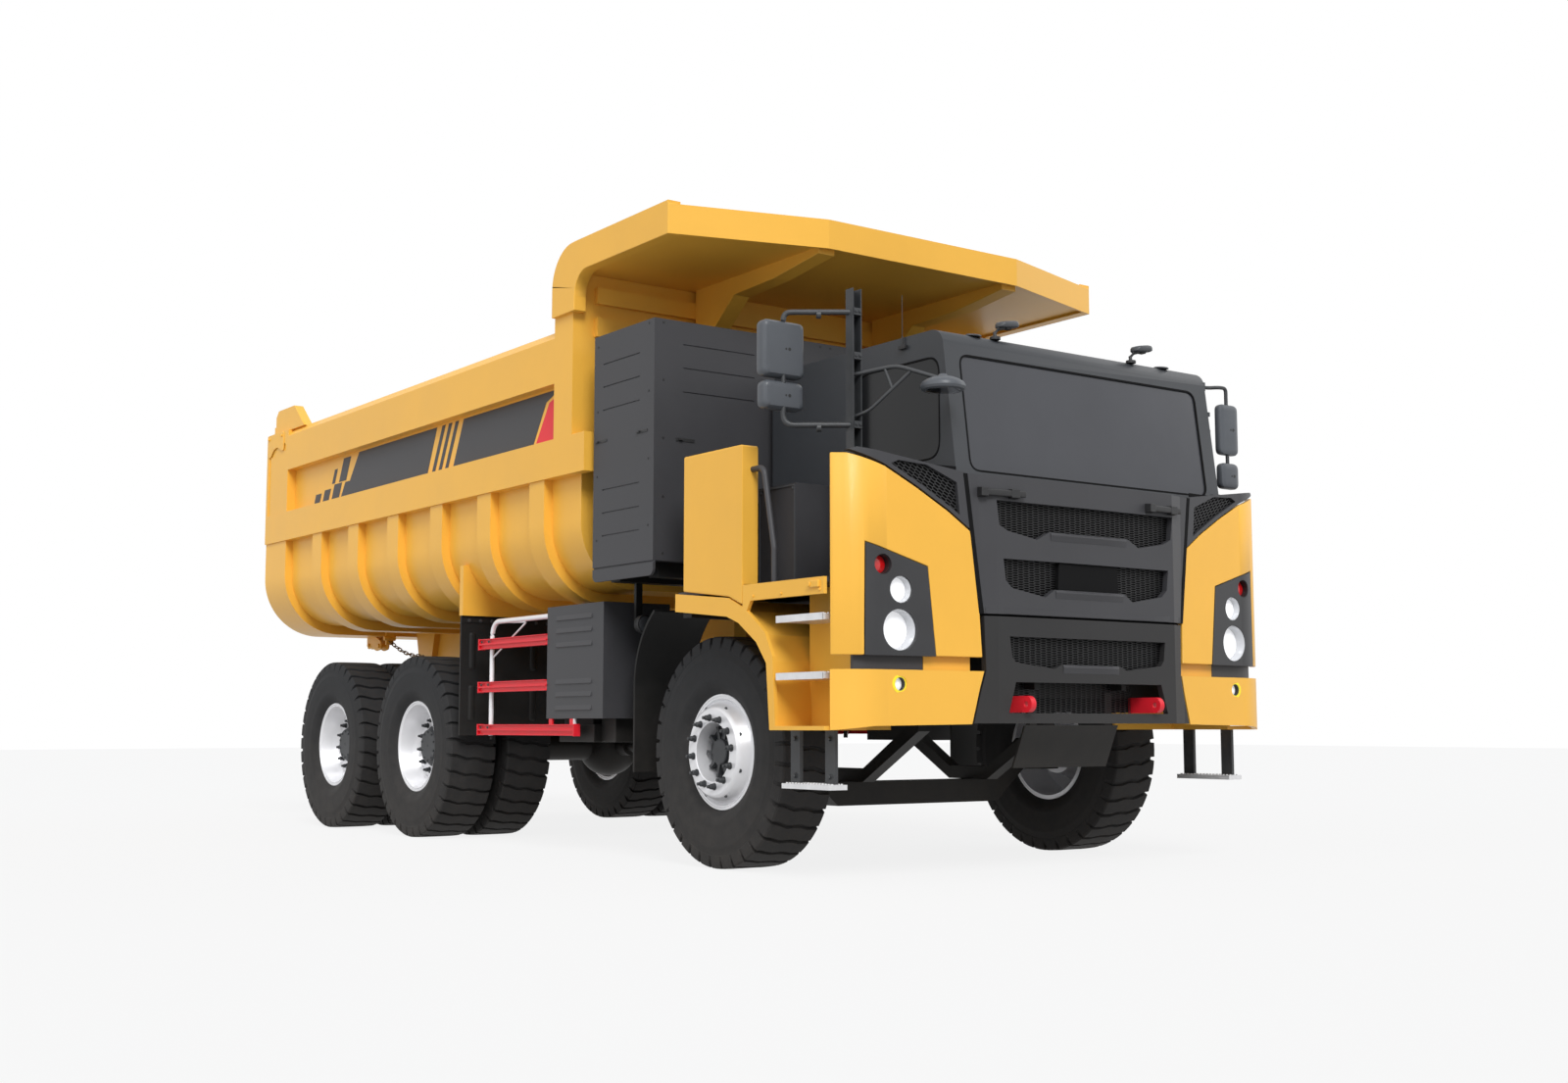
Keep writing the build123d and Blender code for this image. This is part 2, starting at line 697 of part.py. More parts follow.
# ---------------------------------------------------------------- hoist cylinders
hoist_foot_x = front_axle_x - 1750
hoist_foot_z = 950
hoist_run_x = hoist_eye_x - hoist_foot_x
hoist_run_z = hoist_eye_z - hoist_foot_z
hoist_length = (hoist_run_x ** 2 + hoist_run_z ** 2) ** 0.5
barrel_radius = 95
rod_radius = 62
barrel_length = hoist_length - 260


def hoist_plane(sign):
    """Plane at the cylinder's foot, z along the cylinder and x across it."""
    return Plane(origin=(hoist_foot_x, sign * hoist_half, hoist_foot_z), x_dir=(0, 1, 0),
                 z_dir=(hoist_run_x, 0, hoist_run_z))


with BuildPart() as hoist_barrels:
    for sign in (-1, 1):
        with BuildSketch(hoist_plane(sign).offset(eye_radius - 10)):
            Circle(barrel_radius)
            Circle(rod_radius + pin_gap, mode=Mode.SUBTRACT)
        extrude(amount=barrel_length - eye_radius + 10)
        with BuildSketch(hoist_plane(sign).offset(eye_radius - 20)):
            Circle(barrel_radius)
        extrude(amount=40)
        with Locations((hoist_foot_x, sign * hoist_half, hoist_foot_z)):
            Cylinder(eye_radius, eye_width, rotation=(90, 0, 0))
            Cylinder(hoist_pin_radius + pin_gap, eye_width, rotation=(90, 0, 0), mode=Mode.SUBTRACT)
save(hoist_barrels.part, "hoist_barrels")

with BuildPart() as hoist_rods:
    for sign in (-1, 1):
        with BuildSketch(hoist_plane(sign).offset(eye_radius + 60)):
            Circle(rod_radius)
        extrude(amount=hoist_length - 2 * eye_radius - 50)
        with Locations((hoist_eye_x, sign * hoist_half, hoist_eye_z)):
            Cylinder(eye_radius, eye_width, rotation=(90, 0, 0))
            Cylinder(hoist_pin_radius, 2 * hoist_pin_reach, rotation=(90, 0, 0))
save(hoist_rods.part, "hoist_rods")

# ---------------------------------------------------------------- battery box behind the cab
box_rear_x = front_axle_x - 1200
box_front_x = front_axle_x - 400
box_half_width = fender_half
box_middle_x = (box_rear_x + box_front_x) / 2
box_bottom_z = 2010
box_top_z = 3650
box_lip_z = 1910
box_lip = 20
box_seam = 12
box_slot_levels = (3438, 3276, 3112, 2549, 2386, 2227)
with BuildPart() as battery_box:
    with Locations((box_middle_x, 0, (box_bottom_z + box_top_z) / 2)):
        Box(box_front_x - box_rear_x, 2 * box_half_width, box_top_z - box_bottom_z)
    # a lip with round corners hangs below a seam on each side, and slots are pressed into the faces
    for sign in (-1, 1):
        with BuildSketch(Plane.XZ.offset(-sign * (box_half_width - box_lip))):
            with Locations((box_middle_x, (box_lip_z + box_bottom_z) / 2 + 30)):
                RectangleRounded(box_front_x - box_rear_x, box_bottom_z - box_lip_z + 60, 50)
        extrude(amount=-sign * box_lip)
        with Locations((box_middle_x, sign * box_half_width, box_bottom_z - box_seam / 2)):
            Box(box_front_x - box_rear_x, box_lip, box_seam, mode=Mode.SUBTRACT)
        with Locations(*[(box_middle_x - 30, sign * box_half_width, z) for z in box_slot_levels]):
            Box(490, 12, 9, mode=Mode.SUBTRACT)
        with Locations(*[(box_front_x, sign * 1375, z + 52) for z in box_slot_levels[:3]]):
            Box(12, 590, 9, mode=Mode.SUBTRACT)
save(battery_box.part, "battery_box")

# ---------------------------------------------------------------- cab
cab_foot_x = front_axle_x + 1530
cab_waist_x = front_axle_x + 1590
cab_waist_z = 2420
cab_brow_x = front_axle_x + 1465
cab_left_y = cab_centre_y + cab_half_width
cab_right_y = cab_centre_y - cab_half_width


def cab_side(shrink, roof_radius):
    """Side view of the cab, drawn in by a wall thickness."""
    with BuildSketch(mode=Mode.PRIVATE) as outline:
        with BuildLine():
            Polyline(
                (cab_rear_x, cab_floor_z),
                (cab_foot_x, cab_floor_z),
                (cab_foot_x, cab_waist_z - 90),
                (cab_waist_x, cab_waist_z),
                (cab_brow_x, cab_roof_z),
                (cab_rear_x, cab_roof_z),
                close=True,
            )
        make_face()
        fillet(outline.vertices().group_by(Axis.Y)[-1], roof_radius)
        if shrink:
            offset(amount=-shrink, kind=Kind.INTERSECTION)
    return outline.sketch_local


door_front_x = front_axle_x + 1460
door_rear_x = front_axle_x + 640
door_bottom_z = cab_floor_z + cab_wall + 10
door_top_z = 3230
door_gap = 6
door_hinge_x = door_front_x + door_gap
hinge_radius = 14
hinge_pin_radius = 7
door_hinge_y = cab_left_y + hinge_radius + door_gap
door_hinge_levels = (2050, 3000)
hinge_height = 80
side_window_z = 2870
with BuildPart() as cab_shell:
    with BuildSketch(Plane.XZ.offset(-cab_right_y)):
        add(cab_side(0, 110))
    extrude(amount=-2 * cab_half_width)
    with BuildSketch(Plane.XZ.offset(-cab_right_y - cab_wall)):
        add(cab_side(cab_wall, 110))
    extrude(amount=-2 * (cab_half_width - cab_wall), mode=Mode.SUBTRACT)
    # windscreen
    with BuildSketch(Plane.YZ.offset(cab_foot_x - 200)):
        with Locations((cab_centre_y, 2835)):
            RectangleRounded(2 * cab_half_width - 240, 740, 60)
    extrude(amount=500, mode=Mode.SUBTRACT)
    # rear window
    with BuildSketch(Plane.YZ.offset(cab_rear_x - 50)):
        with Locations((cab_centre_y, 2900)):
            RectangleRounded(1200, 420, 60)
    extrude(amount=150, mode=Mode.SUBTRACT)
    # right-hand side window
    with BuildSketch(Plane.XZ.offset(-cab_right_y + 50)):
        with Locations(((door_front_x + door_rear_x) / 2 - 20, side_window_z)):
            RectangleRounded(door_front_x - door_rear_x, 640, 90)
    extrude(amount=-150, mode=Mode.SUBTRACT)
    # doorway on the driver's side
    with BuildSketch(Plane.XZ.offset(-cab_left_y - 50)):
        with Locations(((door_front_x + door_rear_x) / 2, (door_bottom_z + door_top_z) / 2)):
            RectangleRounded(door_front_x - door_rear_x, door_top_z - door_bottom_z, 90)
    extrude(amount=150, mode=Mode.SUBTRACT)
    # fixed leaves and pins of the door hinges
    for z in door_hinge_levels:
        with Locations((door_hinge_x, door_hinge_y, z)):
            Cylinder(hinge_pin_radius, hinge_height + 60)
        for level in (-1, 1):
            with Locations((door_hinge_x, door_hinge_y, z + level * (hinge_height / 2 + door_gap + 15))):
                Cylinder(hinge_radius, 30)
            with Locations((door_hinge_x + 20, (cab_left_y + door_hinge_y) / 2,
                            z + level * (hinge_height / 2 + door_gap + 15))):
                Box(40, door_hinge_y - cab_left_y, 30)
save(cab_shell.part, "cab_shell")

with BuildPart() as door_left:
    with BuildSketch(Plane.XZ.offset(-cab_left_y)):
        with Locations(((door_front_x + door_rear_x) / 2, (door_bottom_z + door_top_z) / 2)):
            RectangleRounded(
                door_front_x - door_rear_x - 2 * door_gap,
                door_top_z - door_bottom_z - 2 * door_gap,
                84,
            )
        with Locations(((door_front_x + door_rear_x) / 2, side_window_z)):
            RectangleRounded(door_front_x - door_rear_x - 160, 600, 80, mode=Mode.SUBTRACT)
    extrude(amount=cab_wall)
    for z in door_hinge_levels:
        with Locations((door_hinge_x - 30, (cab_left_y + door_hinge_y) / 2, z)):
            Box(60, door_hinge_y - cab_left_y, hinge_height)
        with Locations((door_hinge_x, door_hinge_y, z)):
            Cylinder(hinge_radius, hinge_height)
        with Locations((door_hinge_x, door_hinge_y, z)):
            Cylinder(hinge_pin_radius + pin_gap, hinge_height, mode=Mode.SUBTRACT)
    # the hinges' share over the jamb is cut back to the barrels
    with Locations((door_hinge_x + 50, cab_left_y, side_window_z)):
        Box(100 - 2 * door_gap, 2 * door_gap, 3000, mode=Mode.SUBTRACT)
save(door_left.part, "door_left")

glass = 6
with BuildPart() as door_glass:
    with BuildSketch(Plane.XZ.offset(-cab_left_y + cab_wall / 2)):
        with Locations(((door_front_x + door_rear_x) / 2, side_window_z)):
            RectangleRounded(door_front_x - door_rear_x - 160, 600, 80)
    extrude(amount=glass)
save(door_glass.part, "door_glass")

with BuildPart() as cab_glass:
    with BuildSketch(Plane.XZ.offset(-cab_right_y - cab_wall / 2)):
        with Locations(((door_front_x + door_rear_x) / 2 - 20, side_window_z)):
            RectangleRounded(door_front_x - door_rear_x, 640, 90)
    extrude(amount=glass)
    with BuildSketch(Plane.YZ.offset(cab_rear_x + cab_wall / 2)):
        with Locations((cab_centre_y, 2900)):
            RectangleRounded(1200, 420, 60)
    extrude(amount=glass)
    # the windscreen leans with the cab's front
    lean = Plane(origin=(cab_waist_x, cab_centre_y, cab_waist_z), x_dir=(0, 1, 0),
                 z_dir=(cab_roof_z - cab_waist_z, 0, cab_waist_x - cab_brow_x))
    with BuildSketch(lean.offset(-cab_wall / 2)):
        with Locations((0, 400)):
            Rectangle(2 * cab_half_width - 200, 1200)
    extrude(amount=glass)
    with BuildSketch(Plane.YZ.offset(cab_foot_x - 200)):
        Rectangle(4 * body_half_width, 4 * cab_roof_z)
        with Locations((cab_centre_y, 2835)):
            RectangleRounded(2 * cab_half_width - 240, 740, 60, mode=Mode.SUBTRACT)
    extrude(amount=500, mode=Mode.SUBTRACT)
save(cab_glass.part, "cab_glass")

# ---------------------------------------------------------------- front fascia
panel = 40                      # thickness of the moulded front panels
hood_x = front_axle_x + 1735
fascia_rear_x = front_axle_x + 1480
hood_half_top = body_half_width / 2
hood_half_low = hood_half_top - 107
lamp_row = body_half_width - 480
seam = 14
hood_top_z = 2425
hood_low_z = 1585
panel_low_z = 1322
bumper_top_z = 1240
bumper_low_z = 925
lamp_list = [                   # y, z, radius
    (lamp_row, 1472, 122),
    (lamp_row - 8, 1707, 80),
    (lamp_row + 120, 1850, 60),
    (lamp_row + 3, 1157, 45),
]


upper_grille = [                # the openings' outlines, y and z
    (-780, 2275), (780, 2275), (760, 2125), (690, 2092), (450, 2052), (345, 2105),
    (-345, 2105), (-450, 2052), (-690, 2092), (-760, 2125),
]
middle_grille = [
    (-730, 1922), (730, 1922), (712, 1790), (660, 1745), (385, 1700), (308, 1750),
    (-308, 1750), (-385, 1700), (-660, 1745), (-712, 1790),
]
lower_grille = [
    (-685, 1452), (685, 1452), (668, 1330), (640, 1298), (320, 1262), (255, 1290),
    (-255, 1290), (-320, 1262), (-640, 1298), (-668, 1330),
]
lamp_panel = [                  # the dark panel round the headlamps, y and z
    (lamp_row + 232, 1979), (lamp_row - 200, 1850),
    (lamp_row - 256, panel_low_z - 5), (lamp_row + 239, panel_low_z - 5),
]
lamp_panel_gap = 4
shoulder_mesh = [
    (hood_half_top + 80, 2365), (hood_half_top + 300, 2455), (hood_half_top + 500, 2468),
    (hood_half_top + 555, 2445), (hood_half_top + 330, 2330), (hood_half_top + 130, 2215),
    (hood_half_top + 60, 2170),
]


corner_radius = 380             # of the nose's outer corners in plan
corner_centre_x = front_axle_x + 1252
corner_centre_y = body_half_width - 389
corner_reach_x = 168            # rear ends of the corner arcs, from their centres
corner_reach_y = sqrt(corner_radius ** 2 - corner_reach_x ** 2)


def fascia_plan(inset):
    """Plan of the truck's nose, drawn in by inset."""
    with BuildSketch(mode=Mode.PRIVATE) as plan:
        with BuildLine():
            nose_line = Polyline(
                (corner_centre_x + corner_radius, -corner_centre_y),
                (front_axle_x + 1640, -lamp_row),
                (front_axle_x + 1690, -hood_half_top + 75),
                (hood_x - 10, -hood_half_top + 195),
                (hood_x, 0),
                (hood_x - 10, hood_half_top - 195),
                (front_axle_x + 1690, hood_half_top - 75),
                (front_axle_x + 1640, lamp_row),
                (corner_centre_x + corner_radius, corner_centre_y),
            )
            corner_ends = []
            for side, end in ((-1, nose_line @ 0), (1, nose_line @ 1)):
                rear_end = (corner_centre_x + corner_reach_x, side * (corner_centre_y + corner_reach_y))
                middle_x = corner_centre_x + corner_radius * cos(radians(30))
                middle_y = side * (corner_centre_y + corner_radius * sin(radians(30)))
                ThreePointArc(end, (middle_x, middle_y), rear_end)
                corner_ends.append(rear_end)
            Line(*corner_ends)
        make_face()
        if inset:
            offset(amount=-inset, kind=Kind.INTERSECTION)
    return plan.sketch_local


with BuildPart(mode=Mode.PRIVATE) as nose:
    with BuildSketch():
        add(fascia_plan(0))
        add(fascia_plan(panel), mode=Mode.SUBTRACT)
    extrude(amount=3000)


def nose_piece(outline_points, lamps, opening=()):
    """The part of the nose shell behind an outline seen from the front, with lamp bores and an opening."""
    with BuildPart(mode=Mode.PRIVATE) as piece:
        with BuildSketch(Plane.YZ.offset(fascia_rear_x - 1)):
            with BuildLine():
                Polyline(*outline_points, close=True)
            make_face()
            for y, z, radius in lamps:
                with Locations((y, z)):
                    Circle(radius, mode=Mode.SUBTRACT)
            if opening:
                with BuildLine():
                    Polyline(*opening, close=True)
                make_face(mode=Mode.SUBTRACT)
        extrude(amount=500)
        add(nose.part, mode=Mode.INTERSECT)
    return piece.part


corner_edge = [
    (hood_half_top - 15, 2078),
    (hood_half_top + 145, 2186),
    (hood_half_top + 375, 2315),
    (hood_half_top + 595, 2425),
    (body_half_width - 160, 2495),
    (body_half_width + 10, 2502),
]
seam_top = hood_half_top + seam
seam_low = hood_half_low + seam
with BuildPart() as corner_panels:
    corner_foot = [(seam_low, panel_low_z), (seam_low + 20, 1700), (seam_low + 50, 1990)]
    corner_outline = corner_foot + corner_edge + [(body_half_width + 10, panel_low_z)]
    add(nose_piece(corner_outline, [], lamp_panel))
    mirror(about=Plane.XZ)
save(corner_panels.part, "corner_panels")

with BuildPart() as lamp_panels:
    with BuildSketch(Plane.YZ.offset(fascia_rear_x), mode=Mode.PRIVATE) as panel_face:
        with BuildLine():
            Polyline(*lamp_panel, close=True)
        make_face()
        offset(amount=-lamp_panel_gap, kind=Kind.INTERSECTION)
    corners = [(v.Y, v.Z) for v in panel_face.sketch.face().outer_wire().vertices()]
    add(nose_piece(corners, lamp_list[:3]))
    mirror(about=Plane.XZ)
save(lamp_panels.part, "lamp_panels")

with BuildPart() as shoulder_panels:
    shoulder_top = [
        (seam_low + 56, 2045),
        (seam_top, 2430),
        (body_half_width - 206, 2530),
        (body_half_width - 165, 2516),
    ]
    shoulder_foot = [(y, z + 12) for y, z in reversed(corner_edge[:4])]
    add(nose_piece(shoulder_top + shoulder_foot, [], shoulder_mesh))
    mirror(about=Plane.XZ)
save(shoulder_panels.part, "shoulder_panels")

with BuildPart() as bumper_corners:
    bumper_corner = [
        (seam_low - 10, bumper_top_z),
        (hood_half_top - 15, bumper_low_z),
        (body_half_width - 300, bumper_low_z - 10),
        (body_half_width + 10, 880),
        (body_half_width + 10, bumper_top_z),
    ]
    add(nose_piece(bumper_corner, lamp_list[3:]))
    mirror(about=Plane.XZ)
save(bumper_corners.part, "bumper_corners")

tow_slot_low_z = 992
tow_slot_top_z = 1178
tow_slot_half = 700
with BuildPart() as bumper_centre:
    bumper_face = [
        (-hood_half_low, hood_low_z - seam),
        (-hood_half_low + 10, bumper_top_z),
        (-hood_half_top + 30, bumper_low_z + 5),
        (hood_half_top - 30, bumper_low_z + 5),
        (hood_half_low - 10, bumper_top_z),
        (hood_half_low, hood_low_z - seam),
    ]
    add(nose_piece(bumper_face, [], lower_grille))
    with BuildSketch(Plane.YZ.offset(fascia_rear_x)):
        with Locations((0, (tow_slot_low_z + tow_slot_top_z) / 2)):
            Trapezoid(2 * tow_slot_half, tow_slot_top_z - tow_slot_low_z, 72)
    extrude(amount=500, mode=Mode.SUBTRACT)
save(bumper_centre.part, "bumper_centre")

hood_hinge_x = front_axle_x + 1630
hood_hinge_z = 2395
hood_arm_half = 450
hood_arm_width = 80
with BuildPart() as hood_lid:
    add(nose_piece([(-hood_half_low, hood_low_z), (-hood_half_top, hood_top_z), (hood_half_top, hood_top_z),
                    (hood_half_low, hood_low_z)], [], upper_grille))
    with BuildSketch(Plane.YZ.offset(fascia_rear_x)):
        with BuildLine():
            Polyline(*middle_grille, close=True)
        make_face()
    extrude(amount=500, mode=Mode.SUBTRACT)
    for sign in (-1, 1):
        with Locations(((hood_hinge_x + hood_x - 30) / 2, sign * hood_arm_half, hood_hinge_z)):
            Box(hood_x - 30 - hood_hinge_x, hood_arm_width, 2 * hinge_radius)
        with Locations((hood_hinge_x, sign * hood_arm_half, hood_hinge_z)):
            Cylinder(hinge_radius + 8, hood_arm_width, rotation=(90, 0, 0))
        with Locations((hood_hinge_x, sign * hood_arm_half, hood_hinge_z)):
            Cylinder(hinge_pin_radius + pin_gap, hood_arm_width, rotation=(90, 0, 0), mode=Mode.SUBTRACT)
save(hood_lid.part, "hood_lid")

with BuildPart() as headlamps:
    for y, z, radius in lamp_list:
        with Locations((front_axle_x + 1590, y, z)):
            Cylinder(radius, 90, rotation=(0, 90, 0))
    # the lamps end at the panels' faces and stand on a carrier behind them
    with BuildSketch():
        add(fascia_plan(0))
    extrude(amount=3000, mode=Mode.INTERSECT)
    with Locations((front_axle_x + 1535, lamp_row + 70, 1620)):
        Box(20, 220, 560)
    with Locations((front_axle_x + 1535, lamp_row + 10, 1157)):
        Box(20, 120, 120)
    mirror(about=Plane.XZ)
save(headlamps.part, "headlamps")

nose_beam_x = front_axle_x + 1475
nose_beam_length = 50
hook_half = 565
hook_z = 1046
hook_bore = 18
hook_nose = 50
hook_plate = 40
hook_root_x = nose_beam_x + nose_beam_length
hook_eye_x = front_axle_x + front_reach - hook_nose
with BuildPart() as tow_hooks:
    for sign in (-1, 1):
        with BuildSketch(Plane.XZ.offset(-sign * hook_half - hook_plate / 2)):
            with Locations(((hook_root_x + hook_eye_x) / 2, hook_z)):
                Rectangle(hook_eye_x - hook_root_x, 2 * hook_nose)
            with Locations((hook_eye_x, hook_z)):
                Circle(hook_nose)
                Circle(hook_bore, mode=Mode.SUBTRACT)
        extrude(amount=hook_plate)
save(tow_hooks.part, "tow_hooks")

# ---------------------------------------------------------------- fenders, deck and steps
fender_rear_x = front_axle_x - 120
step_rear_x = front_axle_x + 990
step_front_x = fascia_rear_x - seam
sheet = 25
fender_inner_half = fender_half - 900
step_low_z = 890
step_back_half = fender_half - 300
step_wall_outer = step_back_half + sheet / 2
deck_plate = 30
apron_depth = 100
lip_line = [                    # outer line of the wheel arch, ahead of the front axle and up
    (-120, 1765),
    (490, 1705),
    (670, 1630),
    (880, 1476),
    (960, 1330),
    (990, step_low_z),
]
with BuildPart() as fenders:
    with BuildSketch(Plane.XZ.offset(fender_half)):
        with BuildLine():
            Polyline(*[(front_axle_x + x, z) for x, z in lip_line],
                     (front_axle_x + 930, step_low_z),
                     (front_axle_x + 895, 1290),
                     (front_axle_x + 790, 1420),
                     (front_axle_x + 600, 1545),
                     (front_axle_x + 470, 1590),
                     (fender_rear_x, 1650),
                     close=True)
        make_face()
    extrude(amount=-sheet)
    # liner over the wheel
    with BuildSketch(Plane.XZ.offset(fender_half - sheet)):
        with BuildLine():
            Polyline(
                (fender_rear_x, 1715),
                (front_axle_x + 490, 1660),
                (front_axle_x + 650, 1590),
                (front_axle_x + 860, 1440),
                (front_axle_x + 925, 1300),
                (front_axle_x + 955, step_low_z),
                (front_axle_x + 975, step_low_z),
                (front_axle_x + 945, 1300),
                (front_axle_x + 875, 1460),
                (front_axle_x + 660, 1615),
                (front_axle_x + 490, 1690),
                (fender_rear_x, 1740),
                close=True,
            )
        make_face()
    extrude(amount=-(fender_half - sheet - fender_inner_half))
    # back wall and floor of the step well, and the apron under the deck's edge
    wall_middle_z = (deck_z - deck_plate + step_low_z) / 2
    with Locations(((step_rear_x - 40 + step_front_x) / 2, -step_back_half, wall_middle_z)):
        Box(step_front_x - step_rear_x + 40, sheet, deck_z - deck_plate - step_low_z)
    with Locations(((step_rear_x - 40 + step_front_x) / 2, -(fender_half + step_back_half) / 2,
                    step_low_z + sheet / 2)):
        Box(step_front_x - step_rear_x + 40, fender_half - step_back_half, sheet)
    with BuildSketch(Plane.XZ.offset(fender_half)):
        with BuildLine():
            Polyline(
                (front_axle_x + 646, deck_z),
                (step_front_x, deck_z),
                (step_front_x, deck_z - apron_depth),
                (front_axle_x + 730, deck_z - apron_depth),
                (front_axle_x + 680, 1600),
                (front_axle_x + 646, 1600),
                close=True,
            )
        make_face()
    extrude(amount=-sheet)
    mirror(about=Plane.XZ)
save(fenders.part, "fenders")

tread_levels = (1545, 1205)
hang_low_z = 560
hang_half = fender_half - 160
with BuildPart() as steps:
    for sign in (-1, 1):
        for z in tread_levels:
            tread_y = sign * (fender_half + step_wall_outer) / 2
            with Locations(((step_rear_x + step_front_x) / 2, tread_y, z)):
                Box(step_front_x - step_rear_x - 20, fender_half - step_wall_outer, 35)
        for x in (step_rear_x, front_axle_x + 1330):
            with Locations((x, sign * hang_half, (step_low_z + hang_low_z) / 2)):
                Box(90, 20, step_low_z - hang_low_z)
        with Locations((front_axle_x + 1160, sign * hang_half, hang_low_z)):
            Box(470, 130, 30)
save(steps.part, "steps")

deck_half = fender_half - sheet
with BuildPart() as deck:
    for inner_y, outer_y in ((cab_right_y - running_gap, -deck_half), (cab_left_y + running_gap, deck_half)):
        deck_middle_x = (fender_rear_x + step_front_x) / 2
        with Locations((deck_middle_x, (inner_y + outer_y) / 2, deck_z - deck_plate / 2)):
            Box(step_front_x - fender_rear_x, abs(outer_y - inner_y), deck_plate)
save(deck.part, "deck")

cover_rear_x = front_axle_x - 30
cover_front_x = front_axle_x + 640
cover_depth = 120
cover_top_z = 2650
with BuildPart() as tall_covers:
    with BuildSketch(Plane.XZ.offset(fender_half)):
        with BuildLine():
            Polyline(
                (cover_rear_x, deck_z),
                (cover_rear_x, cover_top_z),
                (cover_front_x, cover_top_z),
                (cover_front_x, 1655),
                (front_axle_x + 495, 1712),
                close=True,
            )
        make_face()
    extrude(amount=-sheet)
    with Locations(((cover_rear_x + cover_front_x) / 2, -(fender_half - (cover_depth + sheet) / 2),
                    (deck_z + cover_top_z) / 2)):
        Box(cover_front_x - cover_rear_x, cover_depth - sheet, cover_top_z - deck_z)
    mirror(about=Plane.XZ)
save(tall_covers.part, "tall_covers")

tube = 19
rail_y = fender_half - 80
rail_top_end_z = 2500
rail_runs = [                   # side, ahead of the cover at the top, ahead at the foot, bend radius
    (-1, 120, 230, 60),
    (1, 45, 60, 30),
]
with BuildPart() as handrails:
    for sign, top_ahead, foot_ahead, bend in rail_runs:
        with BuildLine() as run:
            FilletPolyline(
                (cover_front_x, sign * rail_y, rail_top_end_z),
                (cover_front_x + top_ahead, sign * rail_y, rail_top_end_z),
                (cover_front_x + foot_ahead, sign * rail_y, rail_top_end_z - 510),
                (cover_front_x + foot_ahead, sign * rail_y, deck_z),
                radius=bend,
            )
        with BuildSketch(Plane(origin=run.line @ 0, z_dir=run.line % 0)):
            Circle(tube)
        sweep(path=run.line)
save(handrails.part, "handrails")

cabinet_outer = fender_half - 280
with BuildPart() as deck_cabinets:
    for x, width, height in ((front_axle_x + 150, 400, 560), (front_axle_x + 620, 400, 640)):
        with Locations((x, (cab_right_y - 60 - cabinet_outer) / 2, deck_z + height / 2)):
            Box(width, cabinet_outer + cab_right_y - 60, height)
save(deck_cabinets.part, "deck_cabinets")

# ---------------------------------------------------------------- chassis sides
side_box_rear_x = front_axle_x - 2030
side_box_front_x = front_axle_x - 1210
side_box_outer = fender_half - 100
side_box_inner = side_box_outer - 550
side_box_low_z = 967
side_box_top_z = 1785
louvre_levels = (1678, 1586, 1484, 1216, 1125, 1027)
louvre_depth = 9
side_box_length = side_box_front_x - side_box_rear_x
side_box_width = side_box_outer - side_box_inner
side_box_height = side_box_top_z - side_box_low_z
with BuildPart() as side_boxes:
    for sign in (-1, 1):
        side_box_y = sign * (side_box_outer + side_box_inner) / 2
        side_box_z = (side_box_low_z + side_box_top_z) / 2
        with Locations((side_box_rear_x + side_box_length / 2, side_box_y, side_box_z)):
            Box(side_box_length, side_box_width, side_box_height)
        # pressed louvres, each a wedge that stands proud at its lower edge
        for z in louvre_levels:
            with BuildSketch(Plane.YZ.offset(side_box_rear_x + 140)):
                with BuildLine():
                    Polyline(
                        (sign * (side_box_outer - 1), z + 40),
                        (sign * (side_box_outer + louvre_depth), z + 4),
                        (sign * (side_box_outer + louvre_depth), z),
                        (sign * (side_box_outer - 1), z),
                        close=True,
                    )
                make_face()
            extrude(amount=520)
save(side_boxes.part, "side_boxes")

guard_rear_x = front_axle_x - 3130
guard_low_front_x = front_axle_x - 1600
guard_levels = (1550, 1215, 885)
guard_height = 80
guard_half = side_box_outer - 10
with BuildPart() as guard_rails:
    for sign in (-1, 1):
        for z in guard_levels:
            end_x = side_box_rear_x if z > side_box_low_z else guard_low_front_x
            with Locations(((guard_rear_x + end_x) / 2, sign * guard_half, z)):
                Box(end_x - guard_rear_x, 14, guard_height)
                Box(end_x - guard_rear_x, 46, 12)
        for x in (guard_low_front_x - 60, side_box_rear_x + 60):
            with Locations((x, sign * guard_half, (guard_levels[2] + side_box_low_z) / 2)):
                Box(50, 14, side_box_low_z - guard_levels[2])
save(guard_rails.part, "guard_rails")

front_mudguard_x = front_axle_x - 960
mudguard_inner = fender_half - 690
mudguard_width = 480
with BuildPart() as front_mudguards:
    with BuildSketch(Plane.XZ.offset(-mudguard_inner)):
        with BuildLine():
            arc = ThreePointArc(
                (front_mudguard_x, 1130),
                (front_mudguard_x + 66, 1470),
                (front_mudguard_x + 250, 1690),
            )
            offset(arc, amount=20, side=Side.LEFT)
        make_face()
        with Locations((front_mudguard_x - 10, 865)):
            Rectangle(20, 530)
    extrude(amount=-mudguard_width)
    mirror(about=Plane.XZ)
save(front_mudguards.part, "front_mudguards")

with BuildPart() as mudflaps:
    for sign in (-1, 1):
        with Locations((flap_x, sign * (flap_inner + flap_outer) / 2, (840 + flap_top_z) / 2)):
            Box(20, flap_outer - flap_inner, flap_top_z - 840)
save(mudflaps.part, "mudflaps")

